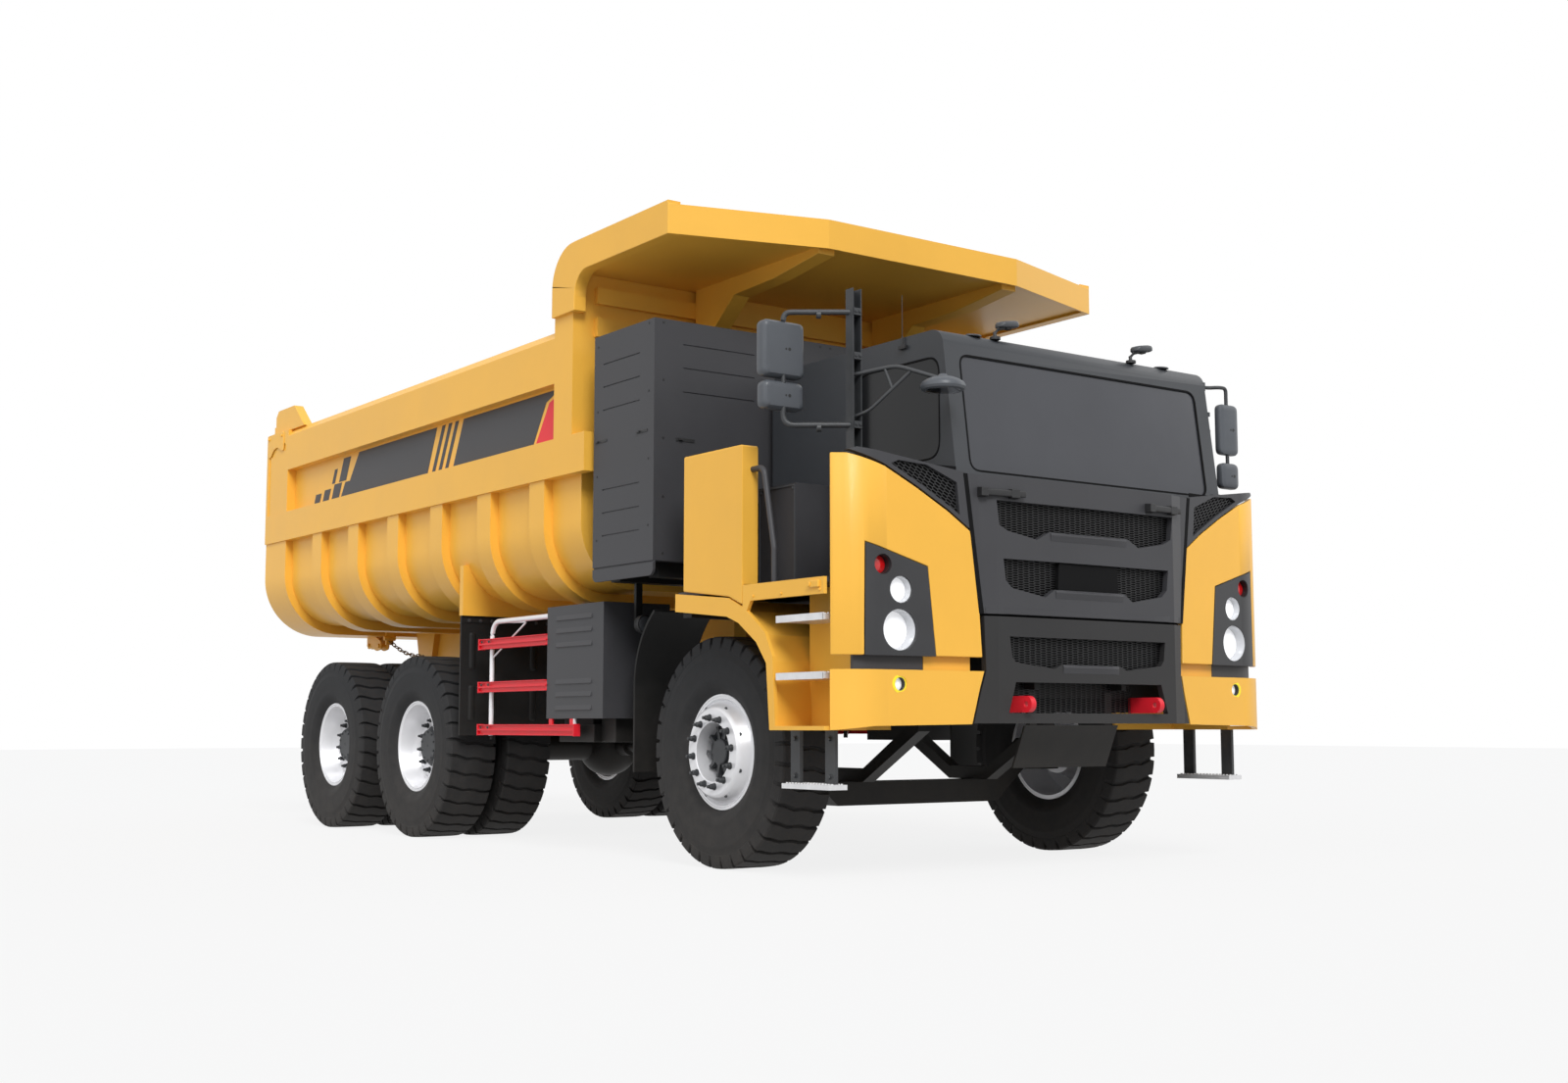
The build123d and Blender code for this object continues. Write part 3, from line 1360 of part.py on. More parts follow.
# brackets that carry the boxes, panels and fenders on the side members
guard_post_x = front_axle_x - 3000
guard_post_y = guard_half - 23 - tube
nose_upright_half = hood_arm_half - hood_arm_width / 2 - door_gap - 20
bracket_boxes = [               # ahead of front axle from/to, y from/to on both sides, z from/to
    # hoist foot cheeks
    (-1830, -1670, 395, 455, hoist_foot_z - 60, rail_bottom_z),
    # battery rack: legs, then beams under the box
    (-1110, -990, 400, 455, rail_top_z, box_bottom_z),
    (-610, -490, 400, 455, rail_top_z, box_bottom_z),
    (-1110, -990, 0, box_half_width - 100, box_bottom_z - 100, box_bottom_z),
    (-610, -490, 0, box_half_width - 100, box_bottom_z - 100, box_bottom_z),
    # arms to the side boxes
    (-1920, -1840, rail_outer_half, side_box_inner, 1120, 1280),
    (-1400, -1320, rail_outer_half, side_box_inner, 1120, 1280),
    # arms to the guard posts and the front mudguards
    (-3030, -2970, rail_outer_half, guard_post_y, 1260, 1320),
    (-985, -935, rail_outer_half, mudguard_inner, 1220, 1280),
    # hangers of the work lamps
    (-1090, -1060, 1575, 1625, 1595, box_bottom_z - 100),
    # cab mounts and beams over the front wheels
    (-100, 0, 380, 460, rail_top_z, cab_floor_z),
    (-100, 0, 380, fender_half - 50, 1610, 1675),
    (1230, 1330, 380, 460, rail_top_z, cab_floor_z),
    # outriggers to the step wells, with posts up to the deck
    (1030, 1110, rail_outer_half, step_back_half - sheet / 2, 1300, 1380),
    (1030, 1110, step_back_half - 170, step_back_half - 90, 1380, deck_z - deck_plate),
    # nose beam, its links to the side members and the uprights behind the hood
    (1475, 1525, 0, body_half_width - 210, 1090, 1230),
    (1380, 1475, 395, rail_outer_half, 1110, 1210),
    (1480, 1525, lamp_row - 15, lamp_row + 45, 1230, 2200),
    (1600, 1640, nose_upright_half - 20, nose_upright_half + 20, 1140, 2430),
    (1525, 1600, nose_upright_half - 20, nose_upright_half + 20, 1140, 1200),
]
strut_boxes = [                 # ahead of front axle from, y from/to on both sides, z from/to
    (1640, nose_upright_half - 20, nose_upright_half + 20, 1490, 1550),
    (1640, nose_upright_half - 20, nose_upright_half + 20, 1190, 1245),
    (1525, lamp_row - 15, lamp_row + 45, 2050, 2120),
    (1525, body_half_width - 260, body_half_width - 210, 1090, 1230),
]
with BuildPart() as nose_struts:
    for rear, inner_y, outer_y, low_z, top_z in strut_boxes:
        for sign in (-1, 1):
            with Locations((front_axle_x + rear + 150, sign * (inner_y + outer_y) / 2, (low_z + top_z) / 2)):
                Box(300, outer_y - inner_y, top_z - low_z)
    with BuildSketch():
        add(fascia_plan(panel))
    extrude(amount=3000, mode=Mode.INTERSECT)

joining_strip = 8
with BuildPart() as joining_strips:
    with BuildSketch():
        add(fascia_plan(panel))
        add(fascia_plan(panel + joining_strip), mode=Mode.SUBTRACT)
    extrude(amount=3000)
    with BuildSketch(Plane.YZ.offset(fascia_rear_x)):
        for sign in (-1, 1):
            with Locations((sign * (hood_half_top + 330), 2280)):
                Rectangle(40, 90)
    extrude(amount=500, mode=Mode.INTERSECT)

with BuildPart() as frame_brackets:
    for rear, front, inner_y, outer_y, low_z, top_z in bracket_boxes:
        for sign in (-1, 1):
            bar_x = front_axle_x + (rear + front) / 2
            with Locations((bar_x, sign * (inner_y + outer_y) / 2, (low_z + top_z) / 2)):
                Box(front - rear, outer_y - inner_y, top_z - low_z)
    with Locations((hoist_foot_x, 0, hoist_foot_z)):
        Cylinder(hoist_pin_radius, 2 * rail_outer_half - rail_flange, rotation=(90, 0, 0))
    for sign in (-1, 1):
        with BuildLine() as post_line:
            FilletPolyline(
                (guard_post_x, sign * guard_post_y, 810),
                (guard_post_x, sign * guard_post_y, 1725),
                (side_box_rear_x, sign * guard_post_y, 1725),
                radius=110,
            )
        with BuildSketch(Plane(origin=post_line.line @ 0, z_dir=post_line.line % 0)):
            Circle(tube)
        sweep(path=post_line.line)
    for sign in (-1, 1):
        with Locations((hood_hinge_x, sign * hood_arm_half, hood_hinge_z)):
            Cylinder(hinge_pin_radius, hood_arm_width + 4 * door_gap, rotation=(90, 0, 0))
    # struts and strips behind the nose panels, cut to the shell's inner face
    add(nose_struts.part)
    add(joining_strips.part)
    # skid plate hanging under the nose
    with BuildSketch(Plane.XZ.offset(-410)):
        with BuildLine():
            Polyline(
                (front_axle_x + 1560, bumper_low_z - 5),
                (front_axle_x + 1445, 655),
                (front_axle_x + 1430, 660),
                (front_axle_x + 1545, bumper_low_z - 5),
                close=True,
            )
        make_face()
    extrude(amount=820)
    for sign in (-1, 1):
        with Locations((front_axle_x + 1530, sign * 330, 1020)):
            Box(40, 60, 210)
save(frame_brackets.part, "frame_brackets")

lamp_length = 90
with BuildPart() as work_lamps:
    for sign in (-1, 1):
        with Locations((front_mudguard_x - 10 - lamp_length / 2, sign * 1600, 1620)):
            Cylinder(65, lamp_length, rotation=(0, 90, 0))
        with Locations((cab_brow_x - 150, cab_centre_y + sign * 617, cab_roof_z + 15)):
            Box(60, 60, 30)
        with Locations((cab_brow_x - 150, cab_centre_y + sign * 617, cab_roof_z + 75)):
            Box(90, 170, 90)
save(work_lamps.part, "work_lamps")

# ---------------------------------------------------------------- mirrors
mirror_post_x = front_axle_x + 1200
left_mirror_x = front_axle_x + 1515
mirror_list = [                 # x, y, half depth, half width, z from, z to
    (front_axle_x + 930, -1815, 45, 155, 3030, 3380),
    (front_axle_x + 930, -1815, 45, 150, 2830, 3005),
    (left_mirror_x, cab_left_y + 180, 30, 95, 2787, 3142),
    (left_mirror_x, cab_left_y + 180, 30, 90, 2550, 2730),
]
disc_centre = (front_axle_x + 1655, -1140, 2955)
disc_radius = 138
disc_root = (mirror_post_x, -1460)
disc_bars = [                   # upper arm, lower arm, brace
    [(*disc_root, 3050), (front_axle_x + 1420, -1305, 3088), (front_axle_x + 1640, -1150, 2992)],
    [(*disc_root, 2790), (front_axle_x + 1280, -1405, 2821), (front_axle_x + 1490, -1256, 3045)],
    [(front_axle_x + 1360, -1348, 3075), (front_axle_x + 1400, -1320, 2945)],
]
with BuildPart() as mirrors:
    with Locations((mirror_post_x, -1460, (deck_z + 3580) / 2)):
        Box(70, 70, 3580 - deck_z)
    for x, y, half_depth, half_width, low_z, top_z in mirror_list:
        with Locations((x, y, (low_z + top_z) / 2)):
            Box(2 * half_depth, 2 * half_width, top_z - low_z)
    for z in (3400, 2720):
        with BuildLine() as arm:
            Polyline((mirror_post_x, -1480, z), (front_axle_x + 985, -1815, z))
        with BuildSketch(Plane(origin=arm.line @ 0, z_dir=arm.line % 0)):
            Circle(tube)
        sweep(path=arm.line)
    with Locations((front_axle_x + 985, -1815, 3060)):
        Cylinder(tube, 680 + 2 * tube)
    # dish mirror over the front corner, on a braced arm
    with BuildSketch(Plane(origin=disc_centre, x_dir=(1, 0, 0), z_dir=(0, 1, 0))):
        with BuildLine():
            Polyline(
                (0, -40),
                (0, 52),
                (70, 44),
                (disc_radius - 15, 15),
                (disc_radius, -15),
                (disc_radius - 12, -40),
                close=True,
            )
        make_face()
    revolve(axis=Axis(disc_centre, (0, 0, 1)))
    for bar in disc_bars:
        with BuildLine() as arm:
            Polyline(*bar)
        with BuildSketch(Plane(origin=arm.line @ 0, z_dir=arm.line % 0)):
            Circle(14)
        sweep(path=arm.line, transition=Transition.ROUND)
    with BuildLine() as arm:
        FilletPolyline(
            (left_mirror_x - 60, cab_left_y, 3260),
            (left_mirror_x - 60, cab_left_y + 60, 3260),
            (left_mirror_x, cab_left_y + 110, 3260),
            (left_mirror_x, cab_left_y + 180, 3260),
            (left_mirror_x, cab_left_y + 180, 2600),
            radius=25,
        )
    with BuildSketch(Plane(origin=arm.line @ 0, z_dir=arm.line % 0)):
        Circle(13)
    sweep(path=arm.line)
    with BuildSketch(Plane.XZ.offset(-cab_left_y)):
        with Locations((left_mirror_x - 60, 3260)):
            Rectangle(40, 60)
    extrude(amount=-14)
save(mirrors.part, "mirrors")

# ---------------------------------------------------------------- inside the cab
seat_rows = (cab_centre_y + 560, cab_centre_y - 560)
inner_floor_z = cab_floor_z + cab_wall
with BuildPart() as seats:
    for y in seat_rows:
        with Locations((front_axle_x + 520, y, 2290)):
            Box(520, 520, 130)
        with Locations((front_axle_x + 230, y, 2600)):
            Box(120, 500, 700)
save(seats.part, "seats")

with BuildPart() as cab_interior:
    for y in seat_rows:
        with Locations((front_axle_x + 500, y, (inner_floor_z + 2225) / 2)):
            Box(360, 360, 2225 - inner_floor_z)
    with Locations((cab_foot_x - cab_wall - 180, cab_centre_y, (inner_floor_z + 2380) / 2)):
        Box(360, 2 * (cab_half_width - cab_wall), 2380 - inner_floor_z)
save(cab_interior.part, "cab_interior")

wheel_centre = (front_axle_x + 950, cab_centre_y + 560, 2560)
wheel_plane = Plane(origin=wheel_centre, x_dir=(0, 1, 0), z_dir=(1, 0, -1.2))
with BuildPart() as steering_wheel:
    with BuildSketch(wheel_plane):
        Circle(230)
        Circle(200, mode=Mode.SUBTRACT)
        Rectangle(410, 40)
        Circle(60)
    extrude(amount=30)
    with BuildSketch(wheel_plane):
        Circle(35)
    extrude(amount=300)
    with Locations((cab_foot_x - cab_wall - 180, cab_centre_y, (inner_floor_z + 2380) / 2)):
        Box(360, 2 * (cab_half_width - cab_wall), 2380 - inner_floor_z, mode=Mode.SUBTRACT)
save(steering_wheel.part, "steering_wheel")
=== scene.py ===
"""Looks of the six-wheel electric mining dump truck: finishes, tyres, rims, trim, lamps and light.

Metres, in the CAD's frame: X points forward, Y to the truck's left, Z up.
"""
from math import cos, pi, radians, sin

import bmesh
import bpy
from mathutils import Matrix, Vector


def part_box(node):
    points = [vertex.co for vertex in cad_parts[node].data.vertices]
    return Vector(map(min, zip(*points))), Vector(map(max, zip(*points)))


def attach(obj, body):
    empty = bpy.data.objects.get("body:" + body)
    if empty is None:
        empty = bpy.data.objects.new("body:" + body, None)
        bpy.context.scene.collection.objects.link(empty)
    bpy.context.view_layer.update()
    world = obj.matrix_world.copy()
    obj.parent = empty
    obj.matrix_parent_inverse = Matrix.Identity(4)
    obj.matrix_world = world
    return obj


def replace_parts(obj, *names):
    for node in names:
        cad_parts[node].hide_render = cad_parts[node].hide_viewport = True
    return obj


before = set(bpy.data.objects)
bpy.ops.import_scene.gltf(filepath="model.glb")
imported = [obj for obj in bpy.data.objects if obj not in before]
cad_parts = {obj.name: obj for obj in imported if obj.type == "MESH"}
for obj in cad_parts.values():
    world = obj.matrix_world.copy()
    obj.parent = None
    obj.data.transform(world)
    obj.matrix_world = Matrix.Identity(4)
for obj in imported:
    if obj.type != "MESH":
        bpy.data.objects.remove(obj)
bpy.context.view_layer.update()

SIDES = (("right", -1), ("left", 1))


def middle(node):
    """Middle of a CAD node's box."""
    low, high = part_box(node)
    return (low + high) / 2


FX = middle("front_axle").x             # the front axle's place
AXLE_Z = middle("tyre_front_left").z


# ---------------------------------------------------------------- camera
camera_lens = 40.486
camera_yaw, camera_pitch = radians(143.987), radians(5.9615)
camera_place = (FX + 9.5287, -8.0418, 0.9167)


def add_camera():
    """The photograph's camera, as fitted to it."""
    camera = bpy.data.objects.new("camera", bpy.data.cameras.new("camera"))
    bpy.context.scene.collection.objects.link(camera)
    camera.data.sensor_width = 36
    camera.data.lens = camera_lens
    camera.data.clip_end = 200
    level = cos(camera_pitch)
    look = Vector((cos(camera_yaw) * level, sin(camera_yaw) * level, sin(camera_pitch)))
    camera.location = camera_place
    camera.rotation_euler = look.to_track_quat("-Z", "Y").to_euler()
    bpy.context.scene.camera = camera


# ---------------------------------------------------------------- finishes
dust_colour = (0.16, 0.13, 0.10, 1)
dust_top, dust_foot = 1.3, 0.1          # heights between which the dust thickens
gloss_swing = 0.06                      # how far the roughness wanders either way
grain_depth = 0.002


def add_node(nodes, kind, **inputs):
    """A shader node with some inputs set; an underscore in a name stands for a space."""
    node = nodes.new("ShaderNode" + kind)
    for name, value in inputs.items():
        node.inputs[name.replace("_", " ")].default_value = value
    return node


def surface(name, colour, roughness, spread=0.08, cloud_scale=2.5, grain=0.0, grain_scale=300.0,
            dust=0.0, metallic=0.0, coat=0.0, specular=0.5):
    """A finish whose colour and gloss wander gently, with a fine grain and dust low on the truck."""
    material = bpy.data.materials.new(name)
    material.use_nodes = True
    nodes, links = material.node_tree.nodes, material.node_tree.links
    shader = nodes["Principled BSDF"]
    for socket, value in (("Metallic", metallic), ("Coat Weight", coat), ("Coat Roughness", 0.12),
                          ("Specular IOR Level", specular)):
        shader.inputs[socket].default_value = value
    place = add_node(nodes, "TexCoord")
    cloud = add_node(nodes, "TexNoise", Scale=cloud_scale, Detail=6, Roughness=0.6)
    links.new(place.outputs["Object"], cloud.inputs["Vector"])
    tint = add_node(nodes, "ValToRGB")
    for stop, position, swing in zip(tint.color_ramp.elements, (0.3, 0.7), (-spread, spread)):
        stop.position = position
        stop.color = [min(1, c * (1 + swing)) for c in colour] + [1]
    links.new(cloud.outputs["Fac"], tint.inputs["Fac"])
    shade = tint.outputs["Color"]
    if dust:
        height = add_node(nodes, "SeparateXYZ")
        low = add_node(nodes, "MapRange", From_Min=dust_top, From_Max=dust_foot, To_Max=dust)
        patches = add_node(nodes, "Math")
        patches.operation = "MULTIPLY"
        veil = add_node(nodes, "Mix")
        veil.data_type = "RGBA"
        veil.inputs["B"].default_value = dust_colour
        links.new(place.outputs["Object"], height.inputs["Vector"])
        links.new(height.outputs["Z"], low.inputs["Value"])
        links.new(low.outputs["Result"], patches.inputs[0])
        links.new(cloud.outputs["Fac"], patches.inputs[1])
        links.new(patches.outputs["Value"], veil.inputs["Factor"])
        links.new(shade, veil.inputs["A"])
        shade = veil.outputs["Result"]
    links.new(shade, shader.inputs["Base Color"])
    gloss = add_node(nodes, "MapRange", To_Min=max(0.02, roughness - gloss_swing),
                     To_Max=min(1.0, roughness + gloss_swing))
    links.new(cloud.outputs["Fac"], gloss.inputs["Value"])
    links.new(gloss.outputs["Result"], shader.inputs["Roughness"])
    if grain:
        fine = add_node(nodes, "TexNoise", Scale=grain_scale, Detail=3)
        relief = add_node(nodes, "Bump", Strength=grain, Distance=grain_depth)
        links.new(place.outputs["Object"], fine.inputs["Vector"])
        links.new(fine.outputs["Fac"], relief.inputs["Height"])
        links.new(relief.outputs["Normal"], shader.inputs["Normal"])
    return material


# colour, roughness, then the spread and scale of the clouds, the grain and its scale, and the dust
YELLOW = surface("yellow_paint", (0.87, 0.465, 0.060), 0.42, 0.035, 1.2, 0.03, 420, 0.10, coat=0.06,
                 specular=0.35)
CHARCOAL = surface("charcoal_paint", (0.042, 0.042, 0.046), 0.48, 0.08, 1.5, 0.05, 500, 0.15, specular=0.35)
CHARCOAL_LOW = surface("charcoal_bumper", (0.022, 0.0215, 0.022), 0.5, 0.08, 1.5, 0.05, 500, 0.15,
                       specular=0.3)
DARK_CAB = surface("dark_cab_paint", (0.030, 0.033, 0.038), 0.45, 0.08, 1.5, 0.05, 500)
CHASSIS = surface("chassis_black", (0.009, 0.009, 0.009), 0.55, 0.25, 4, 0.15, 160, 0.25, specular=0.25)
RED = surface("signal_red", (0.74, 0.012, 0.026), 0.45, 0.06, 3, 0.04, 400)
RUBBER = surface("tyre_rubber", (0.019, 0.0195, 0.021), 0.75, 0.16, 9, 0.30, 220, 0.22, specular=0.25)
FLAP = surface("flap_rubber", (0.009, 0.009, 0.009), 0.6, 0.2, 5, 0.2, 260, 0.2, specular=0.25)
SILVER = surface("rim_silver", (0.80, 0.80, 0.82), 0.34, 0.04, 6, 0.05, 350, 0.2, metallic=0.35)
STEEL = surface("step_steel", (0.70, 0.70, 0.71), 0.35, 0.08, 12, 0.12, 500, metallic=0.6)
DARK_METAL = surface("dark_metal", (0.03, 0.032, 0.035), 0.5, 0.2, 12, 0.15, 260)
CHROME = surface("rod_chrome", (0.75, 0.75, 0.77), 0.12, 0.03, 8, metallic=1.0)
GREY_PLASTIC = surface("grey_plastic", (0.060, 0.064, 0.070), 0.4, 0.05, 6, 0.06, 700, specular=0.35)
BLACK_PLASTIC = surface("black_plastic", (0.012, 0.012, 0.013), 0.5, 0.15, 10, 0.15, 700)
SEAL = surface("window_seal", (0.003, 0.003, 0.0033), 0.8, 0.2, 10, 0.1, 300, specular=0.15)
INTERIOR = surface("interior_plastic", (0.05, 0.05, 0.052), 0.6, 0.15, 5, 0.25, 800)
LENS = surface("lamp_lens", (0.93, 0.93, 0.95), 0.08, 0.02, 20, coat=0.6)
RED_LENS = surface("red_lens", (0.62, 0.004, 0.006), 0.12, 0.05, 20, coat=0.6)
glow = LENS.node_tree.nodes["Principled BSDF"]
glow.inputs["Emission Color"].default_value = (1, 1, 1, 1)
glow.inputs["Emission Strength"].default_value = 0.35
FABRIC = surface("seat_fabric", (0.022, 0.022, 0.025), 0.85, 0.18, 14, 0.6, 900, specular=0.2)
LAMP_PANEL = surface("lamp_panel", (0.034, 0.034, 0.036), 0.45, 0.08, 5, 0.05, 500, specular=0.35)
MIRROR_SHELL = surface("mirror_shell", (0.078, 0.085, 0.096), 0.38, 0.05, 6, 0.03, 400, specular=0.4)
BOWL = surface("lamp_bowl", (0.62, 0.63, 0.65), 0.25, 0.04, 20, metallic=0.2)
FOG_RING = surface("fog_ring", (0.95, 0.80, 0.02), 0.35, 0.04, 20)
GLASS = surface("tinted_glass", (0.006, 0.0065, 0.0075), 0.05, 0.1, 1.0, coat=0.1, specular=0.25)
SCREEN = surface("windscreen_glass", (0.050, 0.052, 0.060), 0.08, 0.10, 0.8, coat=0.2, specular=0.35)
RUST = surface("worn_chain", (0.20, 0.12, 0.05), 0.55, 0.3, 60, 0.3, 400, metallic=0.5)

finishes = {node: finish for finish, names in (
    (YELLOW, "bed_tub bed_ribs bed_rails bed_subframe canopy tailgate corner_panels bumper_corners "
             "fenders tall_covers"),
    (CHARCOAL, "battery_box shoulder_panels hood_lid side_boxes deck_cabinets deck handrails"),
    (CHARCOAL_LOW, "bumper_centre"), (LAMP_PANEL, "lamp_panels"), (DARK_CAB, "cab_shell door_left"),
    (GLASS, "door_glass"), (SCREEN, "cab_glass"), (RED, "tow_hooks guard_rails"),
    (FLAP, "front_mudguards mudflaps"), (STEEL, "steps"), (CHROME, "hoist_rods"), (LENS, "headlamps"),
    (GREY_PLASTIC, "work_lamps mirrors"), (INTERIOR, "seats cab_interior"),
    (BLACK_PLASTIC, "steering_wheel"),
) for node in names.split()}


def paint_nodes():
    for name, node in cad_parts.items():
        node.data.materials.clear()
        node.data.materials.append(finishes.get(name, CHASSIS))


def bevel_edges(target, width):
    """Rounds an object's hard edges without touching its mesh."""
    bevel = target.modifiers.new("bevel", "BEVEL")
    bevel.width = width
    bevel.segments = 2
    bevel.limit_method = "ANGLE"
    bevel.angle_limit = radians(40)
    bevel.harden_normals = True


def soften_edges(node, width):
    """Rounds a CAD node's hard edges, once its faces are joined."""
    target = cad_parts[node]
    target.modifiers.new("weld", "WELD").merge_threshold = 0.0002
    bevel_edges(target, width)


# ---------------------------------------------------------------- mesh forms
class Form:
    """Vertices and faces of one piece, gathered from simple forms."""

    def __init__(self):
        self.points = []
        self.faces = []

    def add(self, points, faces):
        first = len(self.points)
        self.points += [Vector(p) for p in points]
        self.faces += [[first + i for i in face] for face in faces]

    def stack(self, points, n):
        """Rings of n points joined one to the next, with both ends closed."""
        faces = [tuple(reversed(range(n))), tuple(range(len(points) - n, len(points)))]
        for i in range(len(points) // n - 1):
            for k in range(n):
                j = (k + 1) % n
                faces.append((i * n + k, i * n + j, (i + 1) * n + j, (i + 1) * n + k))
        self.add(points, faces)

    def loop(self, points, n):
        """Rings of n points joined one to the next, and the last to the first."""
        faces = []
        for i in range(0, len(points), n):
            ahead = (i + n) % len(points)
            for k in range(n):
                j = (k + 1) % n
                faces.append((i + k, i + j, ahead + j, ahead + k))
        self.add(points, faces)

    def slab(self, outline, depth):
        """A flat outline, given as points in space, made solid along the vector depth."""
        n = len(outline)
        far = [Vector(p) + Vector(depth) for p in outline]
        walls = [(i, (i + 1) % n, n + (i + 1) % n, n + i) for i in range(n)]
        self.add(list(outline) + far, [list(range(n)), list(range(2 * n - 1, n - 1, -1))] + walls)

    def ring(self, outer, inner, depth):
        """A flat frame between two outlines of as many points, made solid along the vector depth."""
        n = len(outer)
        shift = Vector(depth)
        points = [Vector(p) for p in outer] + [Vector(p) for p in inner]
        points += [p + shift for p in points]
        faces = []
        for i in range(n):
            j = (i + 1) % n
            faces += [(i, j, n + j, n + i), (2 * n + i, 3 * n + i, 3 * n + j, 2 * n + j),
                      (i, 2 * n + i, 2 * n + j, j), (n + i, n + j, 3 * n + j, 3 * n + i)]
        self.add(points, faces)

    def box(self, low, high):
        x, y, z = low
        u, v, w = high
        self.slab([(x, y, z), (u, y, z), (u, v, z), (x, v, z)], (0, 0, w - z))

    def turned(self, profile, centre, axis, steps, closed=True):
        """A profile of (along, radius) turned about an axis through centre."""
        axis = Vector(axis).normalized()
        side = axis.orthogonal().normalized()
        other = axis.cross(side)
        rings = []
        for along, radius in profile:
            hub = Vector(centre) + axis * along
            if radius < 1e-6:
                rings.append([hub])
            else:
                turns = [2 * pi * i / steps for i in range(steps)]
                rings.append([hub + (side * cos(turn) + other * sin(turn)) * radius for turn in turns])
        points, starts = [], []
        for ring in rings:
            starts.append(len(points))
            points += ring
        faces = []
        pairs = list(zip(range(len(rings)), range(1, len(rings))))
        if closed:
            pairs.append((len(rings) - 1, 0))
        for a, b in pairs:
            for i in range(steps):
                j = (i + 1) % steps
                near = [starts[a] + (k if len(rings[a]) > 1 else 0) for k in (i, j)]
                far = [starts[b] + (k if len(rings[b]) > 1 else 0) for k in (j, i)]
                face = []
                for k in near + far:
                    if k not in face:
                        face.append(k)
                if len(face) > 2:
                    faces.append(face)
        self.add(points, faces)

    def disc(self, centre, axis, radius, depth, steps=24, rim=0.15):
        """A short round boss with a softened rim, from centre along axis."""
        r = rim * min(radius, depth)
        self.turned([(0, 0), (0, radius), (depth - r, radius), (depth, radius - r), (depth, 0)],
                    centre, axis, steps, closed=False)

    def bolt(self, centre, axis, radius):
        """A hexagon head on a washer."""
        self.turned([(0, 0), (0, radius * 1.35), (radius * 0.25, radius * 1.35), (radius * 0.25, 0)],
                    centre, axis, 14, closed=False)
        self.turned([(radius * 0.25, 0), (radius * 0.25, radius), (radius * 0.8, radius),
                     (radius * 1.0, radius * 0.8), (radius * 1.0, 0)], centre, axis, 6, closed=False)

    def tube(self, path, radius, sides=12):
        """A round bar with flat ends along a path, mitred at its corners."""
        path = [Vector(p) for p in path]
        up = Vector((0, 0, 1))
        rings = []
        for i, point in enumerate(path):
            before = (point - path[i - 1]).normalized() if i else None
            after = (path[i + 1] - point).normalized() if i < len(path) - 1 else None
            way = ((before or after) + (after or before)).normalized()
            lead = before or after
            side = lead.cross(up)
            if side.length < 0.05:
                side = lead.cross(Vector((0, 1, 0)))
            side.normalize()
            over = side.cross(lead).normalized()
            stretch = 1 / max(0.5, way.dot(lead))
            ring = []
            for k in range(sides):
                arm = (side * cos(2 * pi * k / sides) + over * sin(2 * pi * k / sides)) * radius
                arm -= way * arm.dot(way)
                if arm.length > 1e-9 and before and after:
                    arm = arm.normalized() * radius * (1 + (stretch - 1) * 0.5)
                ring.append(point + arm)
            rings.append(ring)
        self.stack([p for ring in rings for p in ring], sides)

    def domed(self, centre, across, out, half_wide, half_tall, radius, rings):
        """A rounded plate grown outwards; each ring is how far out it lies and how far in from the edge."""
        centre, across, out = Vector(centre), Vector(across).normalized(), Vector(out).normalized()
        up = out.cross(across)
        points = []
        for rise, trim in rings:
            u, v = half_wide - trim, half_tall - trim
            line = rounded(oblong(-u, u, -v, v), max(radius - trim, 0.002))
            points += [centre + across * a + up * b + out * rise for a, b in line]
        self.stack(points, len(line))

    def mirrored(self):
        """The same forms again on the other side of the truck."""
        first = len(self.points)
        self.points += [Vector((p.x, -p.y, p.z)) for p in self.points]
        self.faces += [[first + i for i in reversed(face)] for face in self.faces]
        return self

    def piece(self, name, body, material, slot, bevel=0.0, sharp=35.0):
        """The finished object, riding on a body."""
        mesh = bpy.data.meshes.new(name)
        mesh.from_pydata(self.points, [], self.faces)
        shape = bmesh.new()
        shape.from_mesh(mesh)
        bmesh.ops.recalc_face_normals(shape, faces=shape.faces)
        for edge in shape.edges:
            edge.smooth = edge.calc_face_angle(0) < radians(sharp)
        for face in shape.faces:
            face.smooth = True
        shape.to_mesh(mesh)
        shape.free()
        mesh.materials.append(material)
        made = bpy.data.objects.new(name, mesh)
        bpy.context.scene.collection.objects.link(made)
        if bevel:
            bevel_edges(made, bevel)
        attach(made, body)
        return made


def cut_corner(before, corner, after, radius, share, steps):
    """Points round a corner, which reach no further than a share of the runs beside it."""
    back, ahead = before - corner, after - corner
    reach = min(radius, back.length * share, ahead.length * share)
    start, end = corner + back.normalized() * reach, corner + ahead.normalized() * reach
    return [start * (1 - t) ** 2 + corner * 2 * t * (1 - t) + end * t * t
            for t in (k / steps for k in range(steps + 1))]


def bent(points, radius):
    """A path of straight runs with its corners rounded."""
    points = [Vector(p) for p in points]
    path = [points[0]]
    for before, corner, after in zip(points, points[1:], points[2:]):
        path += cut_corner(before, corner, after, radius, 0.48, 6)
    return path + [points[-1]]


def rounded(outline, radius, steps=5):
    """A flat outline of (u, v) pairs with its corners rounded."""
    points = [Vector(p) for p in outline]
    made = []
    for before, corner, after in zip([points[-1]] + points, points, points[1:] + points[:1]):
        made += [tuple(p) for p in cut_corner(before, corner, after, radius, 0.45, steps)]
    return made


def oblong(u_low, u_high, v_low, v_high, trim=0.0):
    """A rectangle's corners as (u, v) pairs, drawn in by trim."""
    a, b, c, d = u_low + trim, u_high - trim, v_low + trim, v_high - trim
    return [(a, c), (b, c), (b, d), (a, d)]


def evenly(low, high, steps):
    """Places evenly spaced from low to high, both included."""
    return [low + (high - low) * k / steps for k in range(steps + 1)]


